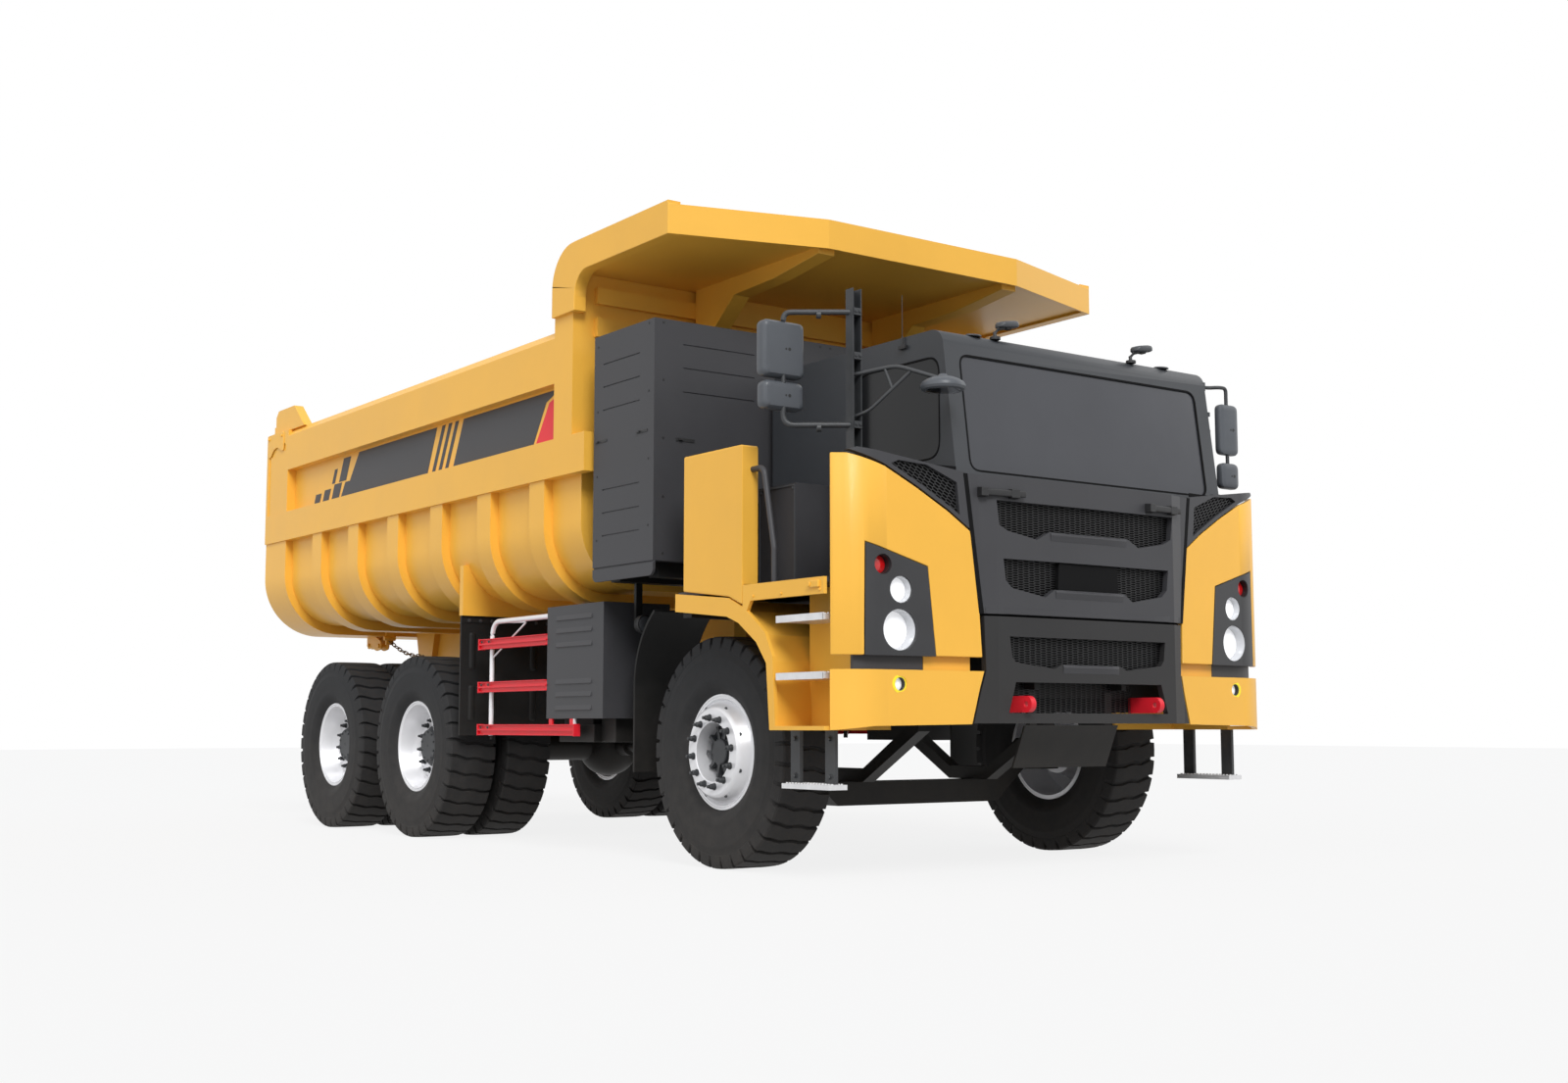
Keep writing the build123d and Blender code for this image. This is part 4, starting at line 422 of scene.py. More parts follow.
# ---------------------------------------------------------------- tyres and rims
tyre_half = 0.215
shoulder_half = 0.187                   # where the tread meets the shoulder
lugs = 36
lug_columns = (                         # share of a pitch, 1 where the lug stands and 0 in the groove
    (0.00, 0), (0.15, 0), (0.19, 1), (0.58, 1), (0.96, 1),
)
groove_drift = (                        # across the tread from -1 to 1, share of a pitch
    (-1.0, 0.00), (-0.55, 0.02), (-0.25, 0.17), (0.0, 0.20), (0.2, 0.12), (0.45, 0.20), (0.72, 0.38),
    (1.0, 0.40),
)
tread_rows = (                          # half width, radius, half width and radius in a groove
    (0.206, 0.665, 0.206, 0.665),
    (0.2045, 0.700, 0.196, 0.694),
    (0.1965, 0.735, 0.180, 0.715),
    (0.187, 0.7445, 0.172, 0.7205),
    (0.150, 0.7465, 0.148, 0.7225),
    (0.105, 0.7475, 0.105, 0.7265),
    (0.055, 0.7475, 0.055, 0.7295),
    (0.012, 0.7475, 0.012, 0.7305),
)
sidewall_rows = (                       # half width, radius, from the tread's edge to the bead
    (0.2065, 0.6640), (0.2050, 0.6600), (0.2115, 0.6180), (0.2135, 0.6120), (0.2130, 0.6060),
    (0.2150, 0.5700), (0.2140, 0.5200), (0.2080, 0.4720), (0.2085, 0.4680), (0.2020, 0.4450),
    (0.1880, 0.4120), (0.1700, 0.3920), (0.1610, 0.3770), (0.1500, 0.3765), (0.1500, 0.3640),
)


def drift(share):
    """How far round the groove lies at a place across the tread, as a share of a pitch."""
    for (a, low), (b, high) in zip(groove_drift, groove_drift[1:]):
        if share <= b:
            return low + (high - low) * (share - a) / (b - a)
    return groove_drift[-1][1]


def add_tyre(form, place_x, centre_y, sign):
    """One lugged tyre about its own centre plane; sign is the truck's side."""
    rows = [(h, r, h, r) for h, r in reversed(sidewall_rows)] + list(tread_rows)
    rows = [(-h, r, -hg, rg) for h, r, hg, rg in rows] + rows[::-1]
    columns = [(lug + share, stands) for lug in range(lugs) for share, stands in lug_columns]
    points = []
    for half, radius, groove_half, groove_radius in rows:
        shift = drift(max(-1.0, min(1.0, half / shoulder_half)))
        for share, stands in columns:
            angle = 2 * pi * (share + shift) / lugs
            h, r = (half, radius) if stands else (groove_half, groove_radius)
            points.append((place_x + r * cos(angle), centre_y + sign * h, AXLE_Z + r * sin(angle)))
    form.loop(points, len(columns))


rim_flanges = (                         # ahead of the tyre's centre plane, radius
    (-0.160, 0.343), (-0.160, 0.372), (-0.155, 0.375), (-0.151, 0.372), (-0.151, 0.363),
    (0.151, 0.363), (0.151, 0.371), (0.155, 0.375), (0.160, 0.372), (0.160, 0.362),
)
front_rim_profile = rim_flanges + (
    (0.154, 0.358), (0.154, 0.353), (0.158, 0.350), (0.157, 0.345), (0.148, 0.341),
    (0.142, 0.334), (0.150, 0.328), (0.205, 0.300), (0.222, 0.289), (0.230, 0.276),
    (0.230, 0.197), (0.226, 0.191), (0.130, 0.186), (0.095, 0.182), (0.095, 0.072),
    (-0.060, 0.072), (-0.060, 0.180), (0.070, 0.205), (0.195, 0.262), (0.120, 0.322),
)
rear_rim_profile = rim_flanges + (
    (0.152, 0.357), (0.152, 0.352), (0.157, 0.348), (0.154, 0.342), (0.140, 0.336),
    (0.060, 0.322), (0.015, 0.302), (-0.004, 0.292), (0.004, 0.288), (0.004, 0.280),
    (-0.006, 0.274), (0.000, 0.180), (0.000, 0.072), (-0.060, 0.072), (-0.060, 0.268),
    (-0.020, 0.300), (0.050, 0.335),
)


def spokes(count, start=0.0):
    """Directions out from an axle, evenly spread, the first turned by a share of the pitch."""
    for index in range(count):
        angle = 2 * pi * (index + start) / count
        yield Vector((cos(angle), 0, sin(angle)))


def add_rim(name, outers, sign):
    """Rim, disc and flange rings; the hub and nuts come apart, in dark metal."""
    node = f"rim_{name}"
    place = middle(node)
    silver, dark = Form(), Form()
    front = len(outers) == 1
    for way, half in zip((sign, -sign), outers):
        silver.turned(front_rim_profile if front else rear_rim_profile, (place.x, sign * half, place.z),
                      (0, way, 0), 72)
    centre = Vector((place.x, sign * outers[0], place.z))
    out = Vector((0, sign, 0))
    if front:
        face, nut_ring = 0.230, 0.222
        dark.turned([(0.097, 0.071), (0.097, 0.150), (0.112, 0.150), (0.112, 0.176), (0.118, 0.176),
                     (0.118, 0.140), (0.135, 0.120), (0.150, 0.085), (0.172, 0.082), (0.178, 0.076),
                     (0.178, 0)], centre, out, 48, closed=False)
        root = centre + out * 0.112
        for arm in spokes(10):
            across = Vector((-arm.z, 0, arm.x)) * 0.011
            dark.slab([root + arm * 0.08 - across, root + arm * 0.172 - across,
                       root + arm * 0.172 + across, root + arm * 0.08 + across], out * 0.045)
        for arm in spokes(8, 0.5):
            lean = (out * 0.89 + arm * 0.456).normalized()
            dark.disc(centre + out * 0.2045 + arm * 0.300 - lean * 0.004, lean, 0.0135, 0.0055, 16)
    else:
        face, nut_ring = 0.0, 0.214
        dark.turned([(0.001, 0.071), (0.001, 0.168), (0.012, 0.168), (0.020, 0.150), (0.050, 0.140),
                     (0.060, 0.132), (0.060, 0.012), (0.057, 0.010), (0.057, 0)],
                    centre, out, 48, closed=False)
        for arm in spokes(10, 0.5):
            dark.bolt(centre + out * 0.060 + arm * 0.118, out, 0.008)
    for arm in spokes(12, 0.25):
        dark.turned([(0, 0), (0, 0.024), (0.006, 0.024), (0.006, 0.019), (0.034, 0.017), (0.040, 0.011),
                     (0.055, 0.011), (0.057, 0.009), (0.057, 0)],
                    centre + out * face + arm * nut_ring, out, 10, closed=False)
    rim = silver.piece(f"rim_detail_{name}", f"wheel_{name}", SILVER, "rim_silver", sharp=28)
    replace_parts(rim, node)
    dark.piece(f"hub_{name}", f"wheel_{name}", DARK_METAL, "chassis_black", sharp=30)


def add_wheels():
    front_half = abs(middle("tyre_front_left").y)
    low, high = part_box("tyre_mid_left")
    dual_halves = (high.y - tyre_half, low.y + tyre_half)
    for axle, halves in (("front", (front_half,)), ("mid", dual_halves), ("rear", dual_halves)):
        for side, sign in SIDES:
            name = f"{axle}_{side}"
            form = Form()
            for half in halves:
                add_tyre(form, middle(f"tyre_{name}").x, sign * half, sign)
            tyre = form.piece(f"lugged_tyre_{name}", f"wheel_{name}", RUBBER, "tyre_rubber", sharp=24)
            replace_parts(tyre, f"tyre_{name}")
            add_rim(name, halves, sign)


# ---------------------------------------------------------------- bed and canopy
bed_panel_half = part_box("bed_tub")[1].y
stripe_low, stripe_high = 3.008, 3.384
stripe_lean = 0.19                      # the stripes' tops lie this far ahead of their feet


def leaning(rear, front, low=stripe_low, high=stripe_high):
    """A bar that leans forward, from its foot's rear and front places, ahead of the front axle."""
    rise = stripe_lean / (stripe_high - stripe_low)
    return [(FX + rear + rise * (low - stripe_low), low), (FX + front + rise * (low - stripe_low), low),
            (FX + front + rise * (high - stripe_low), high), (FX + rear + rise * (high - stripe_low), high)]


stripe_thick, stripe_gap = 0.0012, 0.0004


def add_stripes():
    """The bars and panels painted on the bed's sides, a hair proud of the steel."""
    step_z = 3.145
    dark = [
        [(FX - 5.945, stripe_low), (FX - 4.06, stripe_low), (FX - 3.885, stripe_high),
         (FX - 5.53, stripe_high), (FX - 5.735, step_z), (FX - 5.84, step_z)],
        [(FX - 3.57, stripe_low), (FX - 2.19, stripe_low), (FX - 1.99, 3.31), (FX - 1.77, stripe_high),
         (FX - 3.385, stripe_high)],
    ]
    dark += [leaning(rear, rear + 0.062) for rear in (-3.975, -3.85, -3.725)]
    dark += [leaning(rear, front, high=high)
             for rear, front, high in ((-6.60, -6.46, 3.10), (-6.39, -6.24, 3.12), (-6.17, -5.99, 3.15))]
    dark += [leaning(-6.24, -6.17, 3.16, 3.29), leaning(-6.07, -5.90, 3.16, 3.37)]
    red = [[(FX - 2.15, stripe_low), (FX - 1.73, stripe_low), (FX - 1.73, 3.36), (FX - 1.945, 3.30)]]
    for name, outlines, finish, slot in (("dark", dark, CHARCOAL, "charcoal_panel"),
                                         ("red", red, RED, "signal_red")):
        form = Form()
        for outline in outlines:
            form.slab([(x, bed_panel_half + stripe_gap, z) for x, z in outline], (0, stripe_thick, 0))
        form.mirrored().piece("bed_stripes_" + name, "dump_body", finish, slot)


# ---------------------------------------------------------------- nose
nose_plan = (                           # beside the middle, ahead of the front axle
    (0.0, 1.735), (0.78, 1.725), (0.90, 1.690), (1.47, 1.640), (1.561, 1.632), (1.65, 1.6215), (1.73, 1.592),
    (1.80, 1.548), (1.865, 1.480),
)


def symmetric(*half):
    """An outline from its half on the left, which starts at the top; pairs of y and z."""
    (y, z), rest = half[0], half[1:]
    return ((-y, z), (y, z)) + rest + tuple((-y, z) for y, z in reversed(rest))


upper_grille = symmetric((0.78, 2.275), (0.76, 2.125), (0.69, 2.092), (0.45, 2.052), (0.345, 2.105))
middle_grille = symmetric((0.73, 1.922), (0.712, 1.79), (0.66, 1.745), (0.385, 1.70), (0.308, 1.75))
lower_grille = symmetric((0.685, 1.452), (0.668, 1.33), (0.64, 1.298), (0.32, 1.262), (0.255, 1.29))
tow_mesh = symmetric((0.52, 1.172), (0.52, 1.005))
shoulder_mesh = ((1.055, 2.365), (1.275, 2.455), (1.475, 2.468), (1.530, 2.445), (1.305, 2.330),
                 (1.105, 2.215), (1.035, 2.170))


def nose_x(y, inset=0.0):
    """Where the nose's face lies at a place beside the middle."""
    y = abs(y)
    for (a, near), (b, far) in zip(nose_plan, nose_plan[1:]):
        if y <= b:
            return FX + near + (far - near) * (y - a) / (b - a) - inset
    return FX + nose_plan[-1][1] - inset


def inside(outline, u, v):
    """Whether a place lies within an outline."""
    hit = False
    for (a, b), (c, d) in zip(outline, outline[1:] + outline[:1]):
        if (b > v) != (d > v) and u < a + (c - a) * (v - b) / (d - b):
            hit = not hit
    return hit


def honeycomb(form, outline, inset, angle=0.0, wide=0.060, tall=0.0150, bar=0.0042, depth=0.005):
    """Flat six-sided meshes behind an outline of the nose, given by y and z."""
    turn, lean = cos(angle), sin(angle)
    turned = [(y * turn + z * lean, z * turn - y * lean) for y, z in outline]
    low_u, high_u = min(u for u, v in turned), max(u for u, v in turned)
    low_v, high_v = min(v for u, v in turned), max(v for u, v in turned)
    hexagon = ((-1, 0), (-0.5, 1), (0.5, 1), (1, 0), (0.5, -1), (-0.5, -1))
    columns = int((high_u - low_u) / (0.75 * wide)) + 2
    rows = int((high_v - low_v) / tall) + 2
    for column in range(-1, columns):
        for row in range(-1, rows):
            u = low_u + column * 0.75 * wide
            v = low_v + (row + 0.5 * (column % 2)) * tall
            near = ((0, 0), (1, 0), (-1, 0), (0, 1), (0, -1))
            if not any(inside(turned, u + du * wide * 0.45, v + dv * tall * 0.75) for du, dv in near):
                continue
            outer, inner = [], []
            for side, rise in hexagon:
                for ring, trim in ((outer, 0.0), (inner, bar / 2)):
                    hu = u + side * (wide / 2 - trim * 1.5)
                    hv = v + rise * (tall / 2 - trim)
                    y, z = hu * turn - hv * lean, hv * turn + hu * lean
                    ring.append((nose_x(y, inset), y, z))
            form.ring(outer, inner, (-depth, 0, 0))


def backing(form, outline, inset, margin=0.02):
    """A plain dark sheet behind a mesh, following the nose."""
    low, high = min(z for y, z in outline) - margin, max(z for y, z in outline) + margin
    left, right = min(y for y, z in outline) - margin, max(y for y, z in outline) + margin
    front = [(nose_x(y, inset), y) for y in evenly(left, right, 12)]
    plan = front + [(x - 0.004, y) for x, y in reversed(front)]
    form.slab([(x, y, low) for x, y in plan], (0, 0, high - low))


sill_section = (                        # ahead of the nose, above the ledge's top
    (-0.030, 0.004), (0.001, 0.0), (0.013, -0.010), (0.0145, -0.016), (0.001, -0.052), (-0.030, -0.052),
)


def sill(form, half, top):
    """The bevelled ledge under the middle of a grille, drawn in at both its ends."""
    points = []
    for y in evenly(-half, half, 8):
        trim = 0.010 * min(1.0, max(0.0, (abs(y) - half + 0.03) / 0.03))
        points += [(nose_x(y) + x - (trim if x > 0.0015 else 0), y, top + z) for x, z in sill_section]
    form.stack(points, len(sill_section))


mesh_inset, backing_inset = 0.0412, 0.052     # behind the nose's face
shoulder_turn = radians(29)


def add_grilles():
    """The grilles' meshes with dark sheets behind them, their ledges and the lid's lip."""
    hood_mesh, hood_back, hood_sills = Form(), Form(), Form()
    for outline in (upper_grille, middle_grille):
        honeycomb(hood_mesh, outline, mesh_inset)
        backing(hood_back, outline, backing_inset)
    # the middle of the middle grille is a plain plate
    plate = rounded(symmetric((0.255, 1.93), (0.27, 1.742)), 0.03)
    hood_back.slab([(nose_x(y, 0.012), y, z) for y, z in plate], (-0.028, 0, 0))
    lip = [(nose_x(y, -0.003), y) for y in evenly(-0.86, 0.86, 12)]
    lip += [(x - 0.012, y) for x, y in reversed(lip)]
    hood_sills.slab([(x, y, 1.588) for x, y in lip], (0, 0, 0.034))
    sill(hood_sills, 0.335, 2.103)
    sill(hood_sills, 0.298, 1.748)

    mesh, back, sills = Form(), Form(), Form()
    honeycomb(mesh, lower_grille, mesh_inset)
    backing(back, lower_grille, backing_inset)
    sill(sills, 0.245, 1.288)
    honeycomb(mesh, tow_mesh, 0.180)
    backing(back, symmetric((0.68, 1.19), (0.68, 1.0)), 0.215, 0.0)
    backing(back, symmetric((0.86, 1.606), (0.86, 1.556)), 0.0435, 0.0)
    for sign in (-1, 1):
        outline = tuple((sign * y, z) for y, z in shoulder_mesh)
        honeycomb(mesh, outline, 0.018, sign * shoulder_turn, 0.052, 0.019, 0.0052, 0.004)
        backing(back, outline, 0.0275, -0.002)
    for body, forms, names in (
        ("hood", (hood_mesh, hood_back, hood_sills), ("hood_mesh", "hood_mesh_back", "hood_sills")),
        ("chassis", (mesh, back, sills), ("bumper_mesh", "bumper_mesh_back", "bumper_sill")),
    ):
        for form, name, finish, sharp in zip(forms, names, (BLACK_PLASTIC, SEAL, CHARCOAL), (60, 35, 20)):
            form.piece(name, body, finish, "charcoal_panel", sharp=sharp)


def add_nose_trim():
    """Handles on the lid, rubber in the seams and the ledges over the bumper."""
    handles = Form()
    handle_z, stand_off = 2.318, 0.034
    for y_from, y_to in ((-0.905, -0.578), (0.525, 0.835)):
        start, end = (Vector((nose_x(y) + stand_off, y, handle_z)) for y in (y_from, y_to))
        along = (end - start).normalized()
        out = Vector((along.y, -along.x, 0))
        for place, length in ((0.0, 0.052), (0.68, 0.064)):
            foot = start + (end - start) * place - along * 0.004
            handles.slab([foot + out * ahead + Vector((0, 0, rise)) for ahead, rise in
                          ((-stand_off, -0.031), (0.016, -0.026), (0.016, 0.026), (-stand_off, 0.031))],
                         along * length)
        section = rounded(oblong(-0.012, 0.014, -0.020, 0.020), 0.010, 3)
        handles.slab([start + out * u + Vector((0, 0, v)) for u, v in section], end - start)
    handles.piece("hood_handles", "hood", BLACK_PLASTIC, "charcoal_panel", bevel=0.003)

    seams = Form()
    seam_line = ((2.425, 0.9775), (2.02, 0.924), (1.585, 0.8705))       # height, beside the middle
    seam_wide = 0.030
    for sign in (-1, 1):
        for (high, near_y), (low, far_y) in zip(seam_line, seam_line[1:]):
            corners = [(near_y, high), (near_y + seam_wide, high), (far_y + seam_wide, low), (far_y, low)]
            seams.slab([(nose_x(y, 0.030), sign * y, z) for y, z in corners], (0.0315, 0, 0))
    seams.piece("nose_seams", "chassis", SEAL, "charcoal_panel")

    for name, y_from, y_to, finish, slot in (("bumper_ledge", 0.93, 1.27, YELLOW, "body_yellow"),
                                             ("bumper_ledge_dark", 1.275, 1.74, CHARCOAL, "charcoal_panel")):
        places, ledge = evenly(y_from, y_to, 8), Form()
        plan = [(nose_x(y, 0.052), y) for y in places] + [(nose_x(y, 0.075), y) for y in reversed(places)]
        ledge.slab([(x, y, 1.236) for x, y in plan], (0, 0, 0.092))
        ledge.mirrored().piece(name, "chassis", finish, slot)


lamp_places = (                         # name, beside the middle, height, radius, depth of the lens
    ("main", 1.470, 1.472, 0.122, 0.062),
    ("dip", 1.462, 1.707, 0.080, 0.045),
    ("marker", 1.590, 1.850, 0.060, 0.040),
    ("fog", 1.473, 1.157, 0.045, 0.034),
)


def add_headlamps():
    """Bowls, lenses, the fog lamps' rings and the carriers that hold them."""
    bowls, lenses, red_lenses, fog_rings, carriers = (Form() for _ in range(5))
    for name, y, z, radius, depth in lamp_places:
        centre = (nose_x(y + radius * 0.6) - 0.004, y, z)
        bowl = radius * 0.90
        wall = [(0.0, radius - 0.001), (0.0, radius - 0.005), (-depth, bowl), (-depth - 0.016, bowl),
                (-depth - 0.016, radius - 0.001)]
        dome = [(ahead - depth, share * radius) for ahead, share in (
            (-0.014, 0), (-0.014, 0.90), (-0.004, 0.90), (0.002, 0.86), (0.006, 0.62), (0.009, 0.30),
            (0.0095, 0))]
        (carriers if name in ("marker", "fog") else bowls).turned(wall, centre, (1, 0, 0), 56)
        (red_lenses if name == "marker" else lenses).turned(dome, centre, (1, 0, 0), 56, closed=False)
        if name == "fog":
            fog_rings.turned([(0.0045, radius - 0.006), (0.0055, radius + 0.002), (0.0045, radius + 0.010),
                              (-0.001, radius + 0.013), (-0.020, radius + 0.004), (-0.020, radius - 0.002)],
                             centre, (1, 0, 0), 56)
    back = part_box("headlamps")[0].x
    carriers.box((back, 1.43, 1.36), (back + 0.018, 1.65, 1.90))
    carriers.box((back, 1.42, 1.10), (back + 0.018, 1.54, 1.215))
    lamps = bowls.mirrored().piece("lamp_bowls", "chassis", BOWL, "lamp_glass", sharp=40)
    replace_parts(lamps, "headlamps")
    for form, name, finish, slot, sharp in (
        (lenses, "lamp_lenses", LENS, "lamp_glass", 50),
        (red_lenses, "marker_lenses", RED_LENS, "signal_red", 50),
        (fog_rings, "fog_rings", FOG_RING, "body_yellow", 50),
        (carriers, "lamp_carriers", BLACK_PLASTIC, "charcoal_panel", 40),
    ):
        form.mirrored().piece(name, "chassis", finish, slot, sharp=sharp)


# ---------------------------------------------------------------- cab
cab_low, cab_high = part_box("cab_shell")
CAB_RIGHT = cab_low.y
CAB_LEFT = 1.42
CAB_MIDDLE = (CAB_RIGHT + CAB_LEFT) / 2
ROOF_Z = cab_high.z
waist_x, waist_z, brow_x = FX + 1.590, 2.42, FX + 1.465


def screen_x(z, inset=0.0):
    """Where the cab's leaning front lies at a height."""
    return waist_x + (brow_x - waist_x) * (z - waist_z) / (ROOF_Z - waist_z) - inset


window_z, screen_z = 2.87, 2.835


def pane(u, v, half_u, half_v, radius, trim):
    """A window's outline, drawn in by trim from the edge of its opening."""
    return rounded(oblong(u - half_u, u + half_u, v - half_v, v + half_v, trim), (radius - trim) * 1.35, 8)


def add_glazing():
    """Panes nearly flush with the cab's walls, each in a thin rubber."""
    glass, screen, door_pane, seals, door_seal = (Form() for _ in range(5))
    for form, rubber, face, way, size in (
        (glass, seals, CAB_RIGHT, 1, (FX + 1.03, window_z, 0.41, 0.32, 0.09)),
        (door_pane, door_seal, CAB_LEFT, -1, (FX + 1.05, window_z, 0.33, 0.30, 0.08)),
    ):
        form.slab([(x, face + way * 0.004, z) for x, z in pane(*size, 0.004)], (0, way * 0.006, 0))
        rubber.ring(*([(x, face + way * 0.012, z) for x, z in pane(*size, trim)] for trim in (-0.003, 0.009)),
                    (0, -way * 0.0135, 0))
    size = (CAB_MIDDLE, screen_z, 1.08, 0.37, 0.06)
    screen.slab([(screen_x(z, 0.008), y, z) for y, z in pane(*size, 0.004)], (-0.006, 0, 0))
    seals.ring(*([(screen_x(z, 0.014), y, z) for y, z in pane(*size, trim)] for trim in (-0.003, 0.009)),
               (0.0155, 0, 0))
    rear = rounded(oblong(-0.598, 0.598, 2.692, 3.108), 0.08, 6)
    glass.slab([(cab_low.x + 0.010, CAB_MIDDLE + y, z) for y, z in rear], (0.006, 0, 0))
    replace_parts(glass.piece("cab_panes", "chassis", GLASS, "tinted_glass"), "cab_glass")
    screen.piece("windscreen", "chassis", SCREEN, "tinted_glass")
    seals.piece("window_rubbers", "chassis", SEAL, "charcoal_panel")
    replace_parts(door_pane.piece("door_pane", "door", GLASS, "tinted_glass"), "door_glass")
    door_seal.piece("door_window_rubber", "door", SEAL, "charcoal_panel")


def add_cab_trim():
    """Roof lamps on bent arms, lifting pads, lamps behind the front wheels, aerial and door handle."""
    lamps, arms, pads = Form(), Form(), Form()
    shell = rounded(oblong(-0.048, 0.048, -0.078, 0.078), 0.04, 5)
    shell_rings = ((-0.012, 0.86), (-0.004, 1.0), (0.014, 1.0), (0.026, 0.90), (0.031, 0.62))   # rise, share
    for y in (-0.40, 0.84):
        base = Vector((FX + 1.43, y - 0.10, ROOF_Z - 0.012))
        head = Vector((FX + 1.435, y, ROOF_Z + 0.088))
        arms.disc(base, (0, 0, 1), 0.034, 0.020, 20)
        arms.tube([base + Vector((0, 0, 0.01)), base + Vector((-0.005, 0.0, 0.045)),
                   base + Vector((0, 0.03, 0.075)), head + Vector((0, -0.02, -0.012))], 0.012, 10)
        arms.box(head - Vector((0.020, 0.022, 0.022)), head + Vector((0.020, 0.022, 0.004)))
        lamps.stack([(head.x + u * share, head.y + v * share, head.z + rise + 0.10 * v)
                     for rise, share in shell_rings for u, v in shell], len(shell))
    for y in (-0.66, 1.07):
        pads.turned([(0, 0), (0, 0.052), (0.006, 0.052), (0.010, 0.047), (0.010, 0.016), (0.007, 0.014),
                     (0.007, 0)], (FX + 1.40, y, ROOF_Z - 0.004), (0.10, 0, 1), 28, closed=False)
    for sign in (-1, 1):
        centre = (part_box("work_lamps")[0].x, sign * 1.60, 1.62)
        arms.turned([(0.0, 0), (0.0, 0.030), (0.030, 0.058), (0.036, 0.065), (0.088, 0.065), (0.0895, 0.063),
                     (0.0895, 0.056), (0.084, 0.055), (0.084, 0)], centre, (1, 0, 0), 40, closed=False)
        lamps.turned([(0.0841, 0), (0.0841, 0.0548), (0.087, 0.050), (0.0885, 0.030), (0.089, 0)], centre,
                     (1, 0, 0), 40, closed=False)
    mounts = arms.piece("work_lamp_mounts", "chassis", BLACK_PLASTIC, "cab_plastic", bevel=0.002)
    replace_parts(mounts, "work_lamps")
    lamps.piece("work_lamp_heads", "chassis", GREY_PLASTIC, "cab_plastic", sharp=50)
    pads.piece("roof_pads", "chassis", GREY_PLASTIC, "cab_plastic")

    aerial = Form()
    foot = Vector((FX + 1.105, CAB_RIGHT - 0.002, 3.295))
    aerial.slab([foot + Vector((u, 0, v)) for u, v in oblong(-0.035, 0.035, -0.012, 0.010)], (0, -0.020, 0))
    for low, high, radius, sides in ((0.0, 0.07, 0.006, 10), (0.06, 0.335, 0.0022, 8)):
        aerial.tube([foot + Vector((0, -0.012, rise)) for rise in (low, high)], radius, sides)
    aerial.piece("aerial", "chassis", BLACK_PLASTIC, "cab_plastic")

    handle = Form()
    plate = rounded(oblong(FX + 0.690, FX + 0.860, 2.27, 2.37), 0.03)
    handle.slab([(x, CAB_LEFT, z) for x, z in plate], (0, 0.006, 0))
    handle.tube([(FX + x, CAB_LEFT + stand, 2.32)
                 for x, stand in ((0.712, 0), (0.712, 0.045), (0.838, 0.045), (0.838, 0))], 0.010, 12)
    handle.piece("door_handle", "door", BLACK_PLASTIC, "cab_plastic")


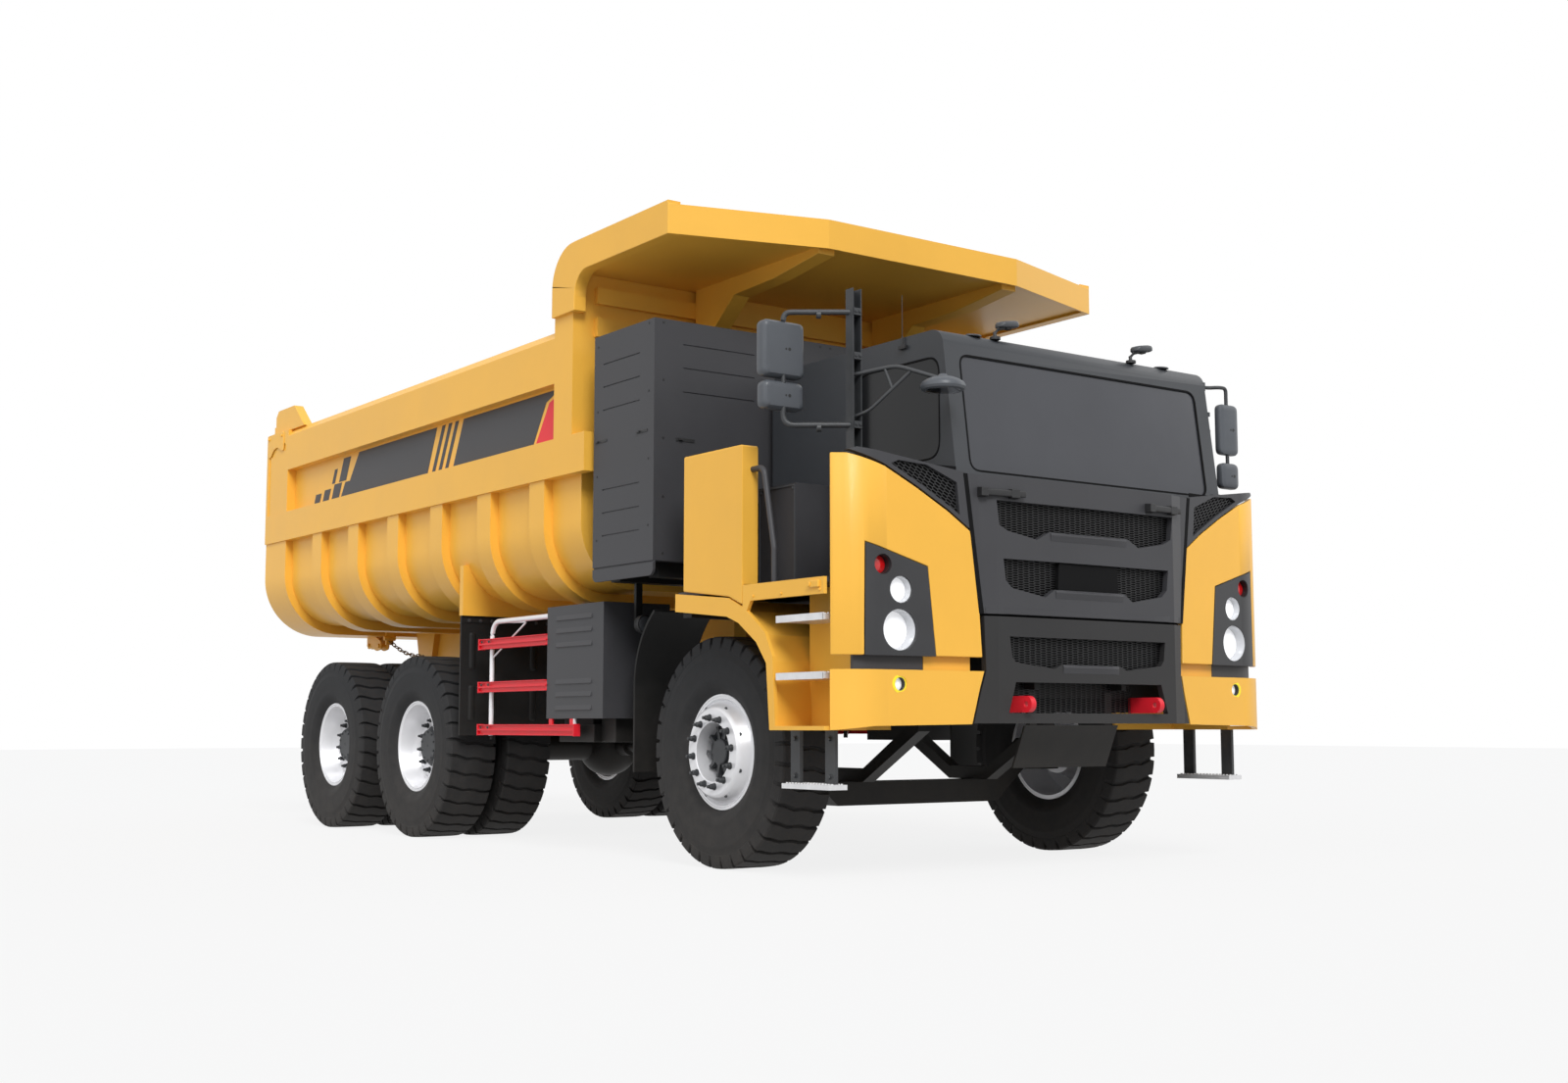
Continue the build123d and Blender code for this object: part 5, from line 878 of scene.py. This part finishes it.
def add_mirrors():
    """Rounded mirror heads on bent tubes, the dish over the front corner and the post they hang on."""
    heads, tubes, plates, dots = Form(), Form(), Form(), Form()
    deck_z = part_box("deck")[1].z
    for x, y, deep, wide, low, top in (
        (FX + 0.93, -1.815, 0.045, 0.155, 3.03, 3.38), (FX + 0.93, -1.815, 0.045, 0.150, 2.83, 3.005),
        (FX + 1.515, 1.60, 0.030, 0.095, 2.787, 3.142), (FX + 1.515, 1.60, 0.030, 0.090, 2.55, 2.73),
    ):
        z = (low + top) / 2
        tall = (top - low) / 2
        heads.domed((x, y, z), (0, 1, 0), (1, 0, 0), wide, tall, 0.045, (
            (-deep, 0.012), (-deep + 0.004, 0.003), (-deep + 0.014, 0.0), (deep * 0.35, 0.0),
            (deep * 0.70, 0.006), (deep * 0.92, 0.018), (deep, 0.040)))
        plates.domed((x - deep, y, z), (0, 1, 0), (1, 0, 0), wide - 0.016, tall - 0.016, 0.035,
                     ((-0.0025, 0.003), (-0.001, 0.0), (0.004, 0.0)))
        for beside, radius in ((0.008, 0.007), (0.034, 0.011)):
            dots.disc((x + deep - 0.002, y + beside, z), (1, 0, 0), radius, 0.0035, 16)
    # the post with its clamps, and the rods that carry the right-hand heads
    post_x, post_y, post_top = FX + 1.20, -1.46, 3.58
    rod_x, rod_y = FX + 0.955, -1.815
    channel = ((-0.035, -0.035), (0.035, -0.035), (0.035, -0.027), (-0.027, -0.027), (-0.027, 0.027),
               (0.035, 0.027), (0.035, 0.035), (-0.035, 0.035))
    tubes.slab([(post_x + u, post_y + v, deck_z) for u, v in channel], (0, 0, post_top - deck_z))
    tubes.box((post_x - 0.06, post_y - 0.06, deck_z), (post_x + 0.06, post_y + 0.06, deck_z + 0.012))
    for z in (3.435, 3.16, 2.735, 2.45):
        tubes.box((post_x - 0.030, post_y - 0.030, z - 0.022), (post_x + 0.042, post_y + 0.030, z + 0.022))
        for v in (-0.016, 0.016):
            tubes.bolt((post_x + 0.041, post_y + v, z), (1, 0, 0), 0.009)
    for z, tip in ((3.435, 3.33), (2.735, 2.88)):
        root, turn = Vector((post_x, post_y - 0.02, z)), Vector((rod_x, rod_y, z))
        tubes.tube(bent([root, turn, (rod_x, rod_y, tip)], 0.07), 0.017, 14)
        tubes.disc(root.lerp(turn, 0.42) + Vector((0, -0.012, -0.019)), (-0.5, -0.7, 0), 0.024, 0.03, 16)
    tubes.tube([(rod_x, rod_y, 2.98), (rod_x, rod_y, 3.05)], 0.014, 14)
    # dish over the front corner
    centre = (FX + 1.655, -1.140, 2.955)
    heads.turned([(-0.040, 0), (-0.040, 0.118), (-0.034, 0.130), (-0.020, 0.138), (-0.006, 0.1375),
                  (0.010, 0.128), (0.026, 0.104), (0.040, 0.070), (0.047, 0.036), (0.052, 0.030),
                  (0.060, 0.024), (0.064, 0.012), (0.065, 0)], centre, (0, 0, 1), 48, closed=False)
    plates.turned([(-0.055, 0), (-0.052, 0.05), (-0.044, 0.095), (-0.038, 0.112), (-0.034, 0.112),
                   (-0.034, 0)], centre, (0, 0, 1), 48, closed=False)
    tubes.tube(bent([(post_x, post_y, 3.05), (FX + 1.42, -1.305, 3.088), (FX + 1.64, -1.150, 2.992)], 0.06),
               0.013, 12)
    tubes.tube(bent([(post_x, post_y, 2.79), (FX + 1.28, -1.405, 2.821), (FX + 1.49, -1.256, 3.045)], 0.04),
               0.011, 12)
    tubes.tube([(FX + 1.36, -1.348, 3.075), (FX + 1.40, -1.320, 2.945)], 0.009, 10)
    # arm of the left-hand heads
    arm_x, arm_z = FX + 1.455, 3.26
    tubes.tube(bent([(arm_x, CAB_LEFT, arm_z), (arm_x, CAB_LEFT + 0.06, arm_z),
                     (FX + 1.515, CAB_LEFT + 0.11, arm_z), (FX + 1.515, 1.60, arm_z),
                     (FX + 1.515, 1.60, 2.60)], 0.03), 0.013, 12)
    tubes.box((FX + 1.435, CAB_LEFT, 3.23), (FX + 1.475, CAB_LEFT + 0.014, 3.29))
    made = heads.piece("mirror_heads", "chassis", MIRROR_SHELL, "cab_plastic", sharp=30)
    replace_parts(made, "mirrors")
    tubes.piece("mirror_arms", "chassis", DARK_METAL, "cab_plastic")
    plates.piece("mirror_plates", "chassis", CHROME, "rod_chrome", sharp=30)
    dots.piece("mirror_plugs", "chassis", BLACK_PLASTIC, "cab_plastic")


# ---------------------------------------------------------------- bodywork behind the cab and along the sides
def add_battery_trim():
    """Bolt heads, latches and hinge strips of the big box."""
    studs, gear = Form(), Form()
    low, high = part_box("battery_box")
    for y, levels in ((-1.826, (3.625, 3.232, 2.836, 2.440, 2.06)), (-0.50, (3.625, 2.836)),
                      (-0.41, (3.625, 2.836))):
        for z in levels:
            studs.disc((high.x - 0.001, y, z), (1, 0, 0), 0.009, 0.004, 12)
    for z in (3.624, 3.16, 2.70, 2.25):
        studs.disc((high.x - 0.07, low.y + 0.001, z), (0, -1, 0), 0.008, 0.004, 12)
        studs.disc((low.x + 0.05, low.y + 0.001, z - 0.05), (0, -1, 0), 0.008, 0.004, 12)
    for y_from, y_to in ((-1.726, -1.576), (-0.738, -0.613)):
        gear.box((high.x - 0.006, y_from, 2.824), (high.x + 0.004, y_to, 2.848))
        gear.box((high.x + 0.003, y_from + 0.02, 2.830), (high.x + 0.018, y_from + 0.05, 2.842))
    for x_from, x_to in ((-0.622, -0.482), (-1.176, -1.018)):
        gear.box((FX + x_from, low.y - 0.004, 2.884), (FX + x_to, low.y + 0.006, 2.904))
        gear.box((FX + x_from + 0.02, low.y - 0.016, 2.888), (FX + x_from + 0.05, low.y - 0.003, 2.900))
    gear.box((low.x - 0.006, low.y + 0.03, 2.687), (low.x + 0.004, low.y + 0.06, 2.954))
    studs.mirrored().piece("battery_box_studs", "chassis", BLACK_PLASTIC, "charcoal_panel")
    gear.mirrored().piece("battery_box_latches", "chassis", BLACK_PLASTIC, "charcoal_panel", bevel=0.002)


def add_side_trim():
    """Steps, guards, flaps and what hangs beneath the side boxes."""
    straps, treads, guards, sleeves, flaps, flap_studs, studs, hanger = (Form() for _ in range(8))

    def grips(x_from, x_to, rows, z, radius, bore):
        """Raised rings that give a tread its grip."""
        ring = [(0, radius), (0.006, radius), (0.006, bore), (0, bore)]
        for x in evenly(x_from + 0.016, x_to - 0.016, 15):
            for y in rows:
                treads.turned(ring, (x, y, z), (0, 0, 1), 10)

    for x in (FX + 0.99, FX + 1.33):
        straps.box((x - 0.047, 1.728, 0.577), (x + 0.047, 1.752, 0.893))
        for z in (0.62, 0.84):
            straps.bolt((x, 1.752, z), (0, 1, 0), 0.014)
    for z in (1.545, 1.205):
        grips(FX + 1.0, FX + 1.456, (1.882, 1.845), z + 0.0174, 0.007, 0.0045)
        treads.box((FX + 1.0, 1.897, z - 0.020), (FX + 1.456, 1.903, z + 0.022))
    grips(FX + 0.925, FX + 1.395, (1.705, 1.775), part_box("steps")[0].z + 0.0299, 0.008, 0.005)
    box_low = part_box("side_boxes")[0]
    guard_in, guard_out = 1.760, 1.815
    rear, front = FX - 3.130, FX - 1.60
    for z in (1.55, 1.215, 0.885):
        # flanges that make a channel of each bar, and the plates at its ends
        end = box_low.x if z > box_low.z else front
        for level in (-0.040, 0.034):
            guards.box((rear, 1.764, z + level), (end, 1.812, z + level + 0.007))
        guards.box((rear - 0.008, guard_in, z - 0.044), (rear + 0.004, guard_out, z + 0.044))
        if end == front:
            guards.box((end - 0.004, guard_in, z - 0.044), (end + 0.008, guard_out, z + 0.044))
        for x in (rear + 0.05, FX - 2.96):
            studs.bolt((x, 1.8095, z + 0.018), (0, 1, 0), 0.008)
    # the grab rail behind the guards, its wire and the plug at the lowest bar's end
    post_x, post_y, bend = FX - 3.0, 1.758, 0.11
    corner = [(post_x + bend - bend * cos(turn), post_y, 1.615 + bend * sin(turn))
              for turn in evenly(0, pi / 2, 8)]
    sleeves.tube([(post_x, post_y, 0.840)] + corner + [(box_low.x - 0.001, post_y, 1.725)], 0.0205, 16)
    sleeves.tube(bent([(FX - 2.84, post_y, 1.715), (FX - 2.44, post_y, 1.700), (post_x, post_y, 1.44)], 0.03),
                 0.007, 8)
    sleeves.box((FX - 1.66, 1.782, 0.925), (FX - 1.61, 1.796, 0.968))
    # flap: pressed ribs along both edges, a steel strip and bolts
    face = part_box("mudflaps")[1].x
    for y in (1.22, 1.765):
        for z_from, z_to in ((0.95, 1.24), (1.36, 1.66)):
            flaps.domed((face - 0.001, y, (z_from + z_to) / 2), (0, 1, 0), (1, 0, 0), 0.030,
                        (z_to - z_from) / 2, 0.03, ((0, 0), (0.006, 0.003), (0.012, 0.012), (0.014, 0.022)))
    for k in range(8):
        flap_studs.bolt((face + 0.006, 1.10 + 0.10 * k, 1.752), (1, 0, 0), 0.012)
    flaps.box((face, 1.06, 1.735), (face + 0.006, 1.862, 1.77))
    # tray under the side box
    hanger.box((box_low.x + 0.02, 1.20, 0.80), (FX - 1.50, 1.70, 0.93))
    hanger.box((box_low.x + 0.06, 1.25, 0.925), (FX - 1.55, 1.68, 0.968))
    hanger.box((FX - 1.50, 1.25, 0.80), (FX - 1.30, 1.64, 0.968))
    for form, name, body, finish, slot, bevel in (
        (straps, "step_straps", "chassis", DARK_METAL, "charcoal_panel", 0.002),
        (treads, "step_grips", "chassis", STEEL, "step_steel", 0.0),
        (guards, "guard_flanges", "chassis", RED, "signal_red", 0.0015),
        (sleeves, "guard_tubes", "chassis", SILVER, "step_steel", 0.0),
        (flaps, "flap_ribs", "dump_body", FLAP, "flap_rubber", 0.0),
        (flap_studs, "flap_bolts", "dump_body", DARK_METAL, "chassis_black", 0.0),
        (studs, "side_bolts", "chassis", DARK_METAL, "chassis_black", 0.0),
        (hanger, "side_box_tray", "chassis", CHASSIS, "chassis_black", 0.004),
    ):
        form.mirrored().piece(name, body, finish, slot, bevel)


def link(form, centre, along, across, length, wide, wire):
    """One link of a chain."""
    centre, along, across = Vector(centre), Vector(along).normalized(), Vector(across)
    across = (across - along * across.dot(along)).normalized()
    run = length / 2 - wide / 2
    path = []
    for k in range(17):
        turn = 2 * pi * k / 16
        shift = run if cos(turn) > 0.001 else (-run if cos(turn) < -0.001 else 0)
        path.append(centre + along * (cos(turn) * wide / 2 + shift) + across * (sin(turn) * wide / 2))
    n, sides = 16, 8
    points = []
    normal = along.cross(across)
    for k in range(n):
        ahead = (path[(k + 1) % n] - path[k - 1]).normalized()
        side = ahead.cross(normal)
        for m in range(sides):
            turn = 2 * pi * m / sides
            points.append(path[k] + side * (cos(turn) * wire) + normal * (sin(turn) * wire))
    form.loop(points, sides)


def add_tail_gear():
    """Hinge plates with bosses at the top of the tailgate, its lock and the slack chain beneath."""
    bosses, plates, locks, chain = Form(), Form(), Form(), Form()
    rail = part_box("bed_rails")[1].y
    bosses.turned([(0, 0.046), (0.012, 0.046), (0.020, 0.040), (0.022, 0.030), (0.018, 0.026), (0.018, 0),
                   (0, 0)], (FX - 7.46, rail - 0.101, 3.97), (0, 1, 0), 32)
    # arched cover plate over the top of the rear post
    arch = rounded([(-7.665, 3.80), (-7.665, 3.60), (-7.58, 3.565), (-7.50, 3.64), (-7.40, 3.66),
                    (-7.30, 3.62), (-7.22, 3.60), (-7.22, 3.80)], 0.04, 3)
    plates.slab([(FX + x, rail - 0.002, z) for x, z in arch], (0, 0.008, 0))
    for x in (-7.62, -7.27):
        plates.bolt((FX + x, rail + 0.005, 3.76), (0, 1, 0), 0.014)
    # lock: a hook in its cheeks under the gate's corner
    lock_y = 0.85
    cheek = rounded([(-7.52, 1.92), (-7.38, 1.92), (-7.36, 1.82), (-7.20, 1.76), (-7.19, 1.68),
                     (-7.30, 1.665), (-7.42, 1.70), (-7.52, 1.69), (-7.545, 1.76)], 0.02, 2)
    for side in (-0.045, 0.030):
        locks.slab([(FX + x, lock_y + side, z) for x, z in cheek], (0, 0.015, 0))
    for x, z, radius in ((-7.49, 1.73, 0.020), (-7.24, 1.715, 0.022), (-7.45, 1.86, 0.016),
                         (-7.085, 1.785, 0.024)):
        locks.disc((FX + x, lock_y - 0.060, z), (0, 1, 0), radius, 0.12, 20)
    hook = ((-7.54, 1.80), (-7.48, 1.86), (-7.43, 1.80), (-7.44, 1.72), (-7.50, 1.69), (-7.56, 1.71),
            (-7.55, 1.745), (-7.50, 1.73), (-7.48, 1.76))
    locks.slab([(FX + x, lock_y - 0.012, z) for x, z in hook], (0, 0.026, 0))
    locks.box((FX - 7.50, 0.80, 1.905), (FX - 7.06, 0.90, 1.935))
    locks.box((FX - 7.10, 0.812, 1.72), (FX - 7.07, 0.888, 1.92))
    # slack chain from the lock forward
    start, end = Vector((FX - 7.085, lock_y, 1.765)), Vector((FX - 6.57, 0.72, 1.60))
    count, sag = 11, 0.05
    for k in range(count):
        t = (k + 0.5) / count
        spot = start.lerp(end, t) - Vector((0, 0, sag * (1 - (2 * t - 1) ** 2)))
        along = (end - start) / count + Vector((0, 0, 4 * sag * (2 * t - 1) / count))
        link(chain, spot, along, (0, 0, 1) if k % 2 else (0, 1, 0), 0.064, 0.030, 0.0055)
    bosses.mirrored().piece("gate_bosses", "dump_body", YELLOW, "body_yellow")
    plates.mirrored().piece("rear_post_plates", "dump_body", YELLOW, "body_yellow", bevel=0.002)
    locks.mirrored().piece("gate_locks", "dump_body", YELLOW, "body_yellow", bevel=0.002)
    chain.mirrored().piece("gate_chains", "dump_body", RUST, "chassis_black", sharp=60)


def add_deck_trim():
    """Latch and bolts on the apron, edges and bolts on the cabinets' doors."""
    trim, edges = Form(), Form()
    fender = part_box("fenders")[1].y
    trim.domed((FX + 1.385, fender + 0.001, 1.735), (-1, 0, 0), (0, 1, 0), 0.048, 0.022, 0.01,
               ((0, 0), (0.010, 0.001), (0.014, 0.006)))
    trim.disc((FX + 1.345, fender, 1.735), (0, 1, 0), 0.014, 0.022, 16)
    for x in (0.76, 1.05, 1.43):
        trim.bolt((FX + x, fender, 1.70), (0, 1, 0), 0.008)
    trim.mirrored().piece("deck_latches", "chassis", YELLOW, "body_yellow")
    deck_z, face = 1.775, -1.62
    for x_from, x_to, height in ((-0.05, 0.35, 0.56), (0.42, 0.82, 0.64)):
        outer, inner, corners = (
            [(FX + x, face, z) for x, z in oblong(x_from, x_to, deck_z, deck_z + height, inset)]
            for inset in (0.008, 0.018, 0.03))
        for corner in corners:
            edges.bolt(corner, (0, -1, 0), 0.008)
        edges.ring(outer, inner, (0, -0.006, 0))
    edges.piece("cabinet_edges", "chassis", GREY_PLASTIC, "charcoal_panel")


# ---------------------------------------------------------------- seats
pad_grid = 22                           # squares along each side of a pad
pad_square = 7                          # higher is squarer
pad_pinch = 0.025                       # how far its sides draw in between the corners
channel_half, channel_deep = 0.05, 0.10


def add_pad(name, centre, half, crown, channels):
    """A crowned pad: rounded on every side, drawn in between its corners, with sewn channels on top."""
    n = pad_grid
    centre, half = Vector(centre), Vector(half)
    long_side = 0 if half.x < half.y and half.x < half.z else 2
    shape = bmesh.new()
    for axis in range(3):
        for sign in (-1, 1):
            grid = []
            for i in range(n + 1):
                for j in range(n + 1):
                    place = [0.0, 0.0, 0.0]
                    place[axis] = sign
                    place[(axis + 1) % 3] = 2 * i / n - 1
                    place[(axis + 2) % 3] = 2 * j / n - 1
                    size = sum(abs(c) ** pad_square for c in place) ** (1 / pad_square)
                    place = [c / size for c in place]
                    flat = [place[k] for k in range(3) if k != long_side]
                    middle_share = (1 - flat[0] ** 2) * (1 - flat[1] ** 2)
                    place[long_side] *= 1 - crown + crown * middle_share
                    for k in range(3):
                        if k != long_side:
                            other = [m for m in range(3) if m not in (k, long_side)][0]
                            place[k] *= 1 - pad_pinch + pad_pinch * place[other] ** 2
                    groove = sum(max(0.0, 1 - abs(place[1] - c) / channel_half) for c in channels)
                    if place[long_side] > 0:
                        place[long_side] -= channel_deep * groove * middle_share
                    grid.append(shape.verts.new(centre + Vector(c * h for c, h in zip(place, half))))
            for i in range(n):
                for j in range(n):
                    a = i * (n + 1) + j
                    shape.faces.new((grid[a], grid[a + n + 1], grid[a + n + 2], grid[a + 1]))
    bmesh.ops.remove_doubles(shape, verts=shape.verts, dist=0.0001)
    bmesh.ops.recalc_face_normals(shape, faces=shape.faces)
    for face in shape.faces:
        face.smooth = True
    mesh = bpy.data.meshes.new(name)
    shape.to_mesh(mesh)
    shape.free()
    mesh.materials.append(FABRIC)
    pad = bpy.data.objects.new(name, mesh)
    bpy.context.scene.collection.objects.link(pad)
    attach(pad, "chassis")
    return pad


def add_seats():
    """Padded cushions and backs of two seats, and the dashboard's dials and switches."""
    crown, channels = 0.16, (-0.5, 0.5)
    for side, y in (("left", 0.78), ("right", -0.34)):
        cushion = add_pad("seat_cushion_" + side, (FX + 0.52, y, 2.29), (0.26, 0.26, 0.065), crown, channels)
        if side == "left":
            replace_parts(cushion, "seats")
        add_pad("seat_back_" + side, (FX + 0.23, y, 2.60), (0.06, 0.25, 0.35), crown, channels)
    dials, panel = Form(), Form()
    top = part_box("cab_interior")[1].z
    rear = FX + 1.125
    for y in (0.66, 0.78, 0.90):
        dials.turned([(0, 0.045), (-0.010, 0.045), (-0.014, 0.041), (-0.006, 0.038), (-0.006, 0), (0, 0)],
                     (rear + 0.001, y, top - 0.075), (1, 0, 0), 24)
    for k in range(6):
        y = -0.30 + 0.11 * k
        panel.box((rear - 0.008, y, top - 0.10), (rear + 0.002, y + 0.07, top - 0.06))
    dials.piece("dials", "chassis", BLACK_PLASTIC, "cab_plastic")
    panel.piece("dash_switches", "chassis", GREY_PLASTIC, "cab_plastic", bevel=0.002)


# ---------------------------------------------------------------- stage and light
floor_half = 60
floor_grey = (0.52, 0.52, 0.52, 1)
floor_white = 0.85                      # how much of the floor is plain white to the camera


def add_stage():
    """A plain pale floor that keeps the truck's shadow."""
    floor_mesh = bpy.data.meshes.new("floor")
    corners = oblong(-floor_half, floor_half, -floor_half, floor_half)
    floor_mesh.from_pydata([(x, y, 0) for x, y in corners], [], [(0, 1, 2, 3)])
    floor = bpy.data.objects.new("floor", floor_mesh)
    bpy.context.scene.collection.objects.link(floor)
    material = bpy.data.materials.new("floor_white")
    material.use_nodes = True
    nodes, links = material.node_tree.nodes, material.node_tree.links
    shader = nodes["Principled BSDF"]
    for socket, value in (("Base Color", floor_grey), ("Roughness", 0.9), ("Specular IOR Level", 0.0)):
        shader.inputs[socket].default_value = value
    glow = add_node(nodes, "Emission", Strength=1.0)
    share = add_node(nodes, "Math")
    share.operation = "MULTIPLY"
    share.inputs[1].default_value = floor_white
    mix = add_node(nodes, "MixShader")
    links.new(seen_rays(nodes, links), share.inputs[0])
    links.new(share.outputs["Value"], mix.inputs["Fac"])
    links.new(shader.outputs["BSDF"], mix.inputs[1])
    links.new(glow.outputs["Emission"], mix.inputs[2])
    links.new(mix.outputs["Shader"], nodes["Material Output"].inputs["Surface"])
    floor_mesh.materials.append(material)


def seen_rays(nodes, links):
    """1 for camera, glossy and transmission rays."""
    rays = add_node(nodes, "LightPath")
    total = rays.outputs["Is Camera Ray"]
    for kind in ("Is Glossy Ray", "Is Transmission Ray"):
        either = add_node(nodes, "Math")
        either.operation = "MAXIMUM"
        links.new(total, either.inputs[0])
        links.new(rays.outputs[kind], either.inputs[1])
        total = either.outputs["Value"]
    return total


suns = (                                # name, strength, spread in degrees, direction the light comes from
    ("key", 2.40, 25, (0.84, -0.40, 0.78)),
    ("side", 0.62, 50, (0.1, -1.0, 0.55)),
    ("far_side", 0.4, 50, (0.2, 1.0, 0.5)),
)


def add_light():
    """Soft sky light with a white background, and three wide suns."""
    scene = bpy.context.scene
    scene.view_settings.view_transform = "Standard"
    world = bpy.data.worlds.new("studio")
    scene.world = world
    world.use_nodes = True
    nodes, links = world.node_tree.nodes, world.node_tree.links
    soft = nodes["Background"]
    soft.inputs["Color"].default_value = (0.93, 0.96, 1.0, 1)
    soft.inputs["Strength"].default_value = 0.46
    white = add_node(nodes, "Background", Color=(1, 1, 1, 1), Strength=1.0)
    mix = add_node(nodes, "MixShader")
    links.new(seen_rays(nodes, links), mix.inputs["Fac"])
    links.new(soft.outputs["Background"], mix.inputs[1])
    links.new(white.outputs["Background"], mix.inputs[2])
    links.new(mix.outputs["Shader"], nodes["World Output"].inputs["Surface"])
    for name, strength, degrees, source in suns:
        lamp = bpy.data.lights.new(name, "SUN")
        lamp.energy = strength
        lamp.angle = radians(degrees)
        lit = bpy.data.objects.new(name, lamp)
        lit.rotation_euler = Vector(source).to_track_quat("Z", "Y").to_euler()
        scene.collection.objects.link(lit)


add_camera()
paint_nodes()
for softened, edge_width in (
    ("canopy", 0.006), ("battery_box", 0.018), ("side_boxes", 0.010), ("tall_covers", 0.012),
    ("corner_panels", 0.006), ("bed_rails", 0.004), ("cab_shell", 0.012),
):
    soften_edges(softened, edge_width)
for add in (add_wheels, add_stripes, add_grilles, add_nose_trim, add_headlamps, add_glazing, add_cab_trim,
            add_mirrors, add_battery_trim, add_side_trim, add_tail_gear, add_deck_trim, add_seats, add_stage,
            add_light):
    add()
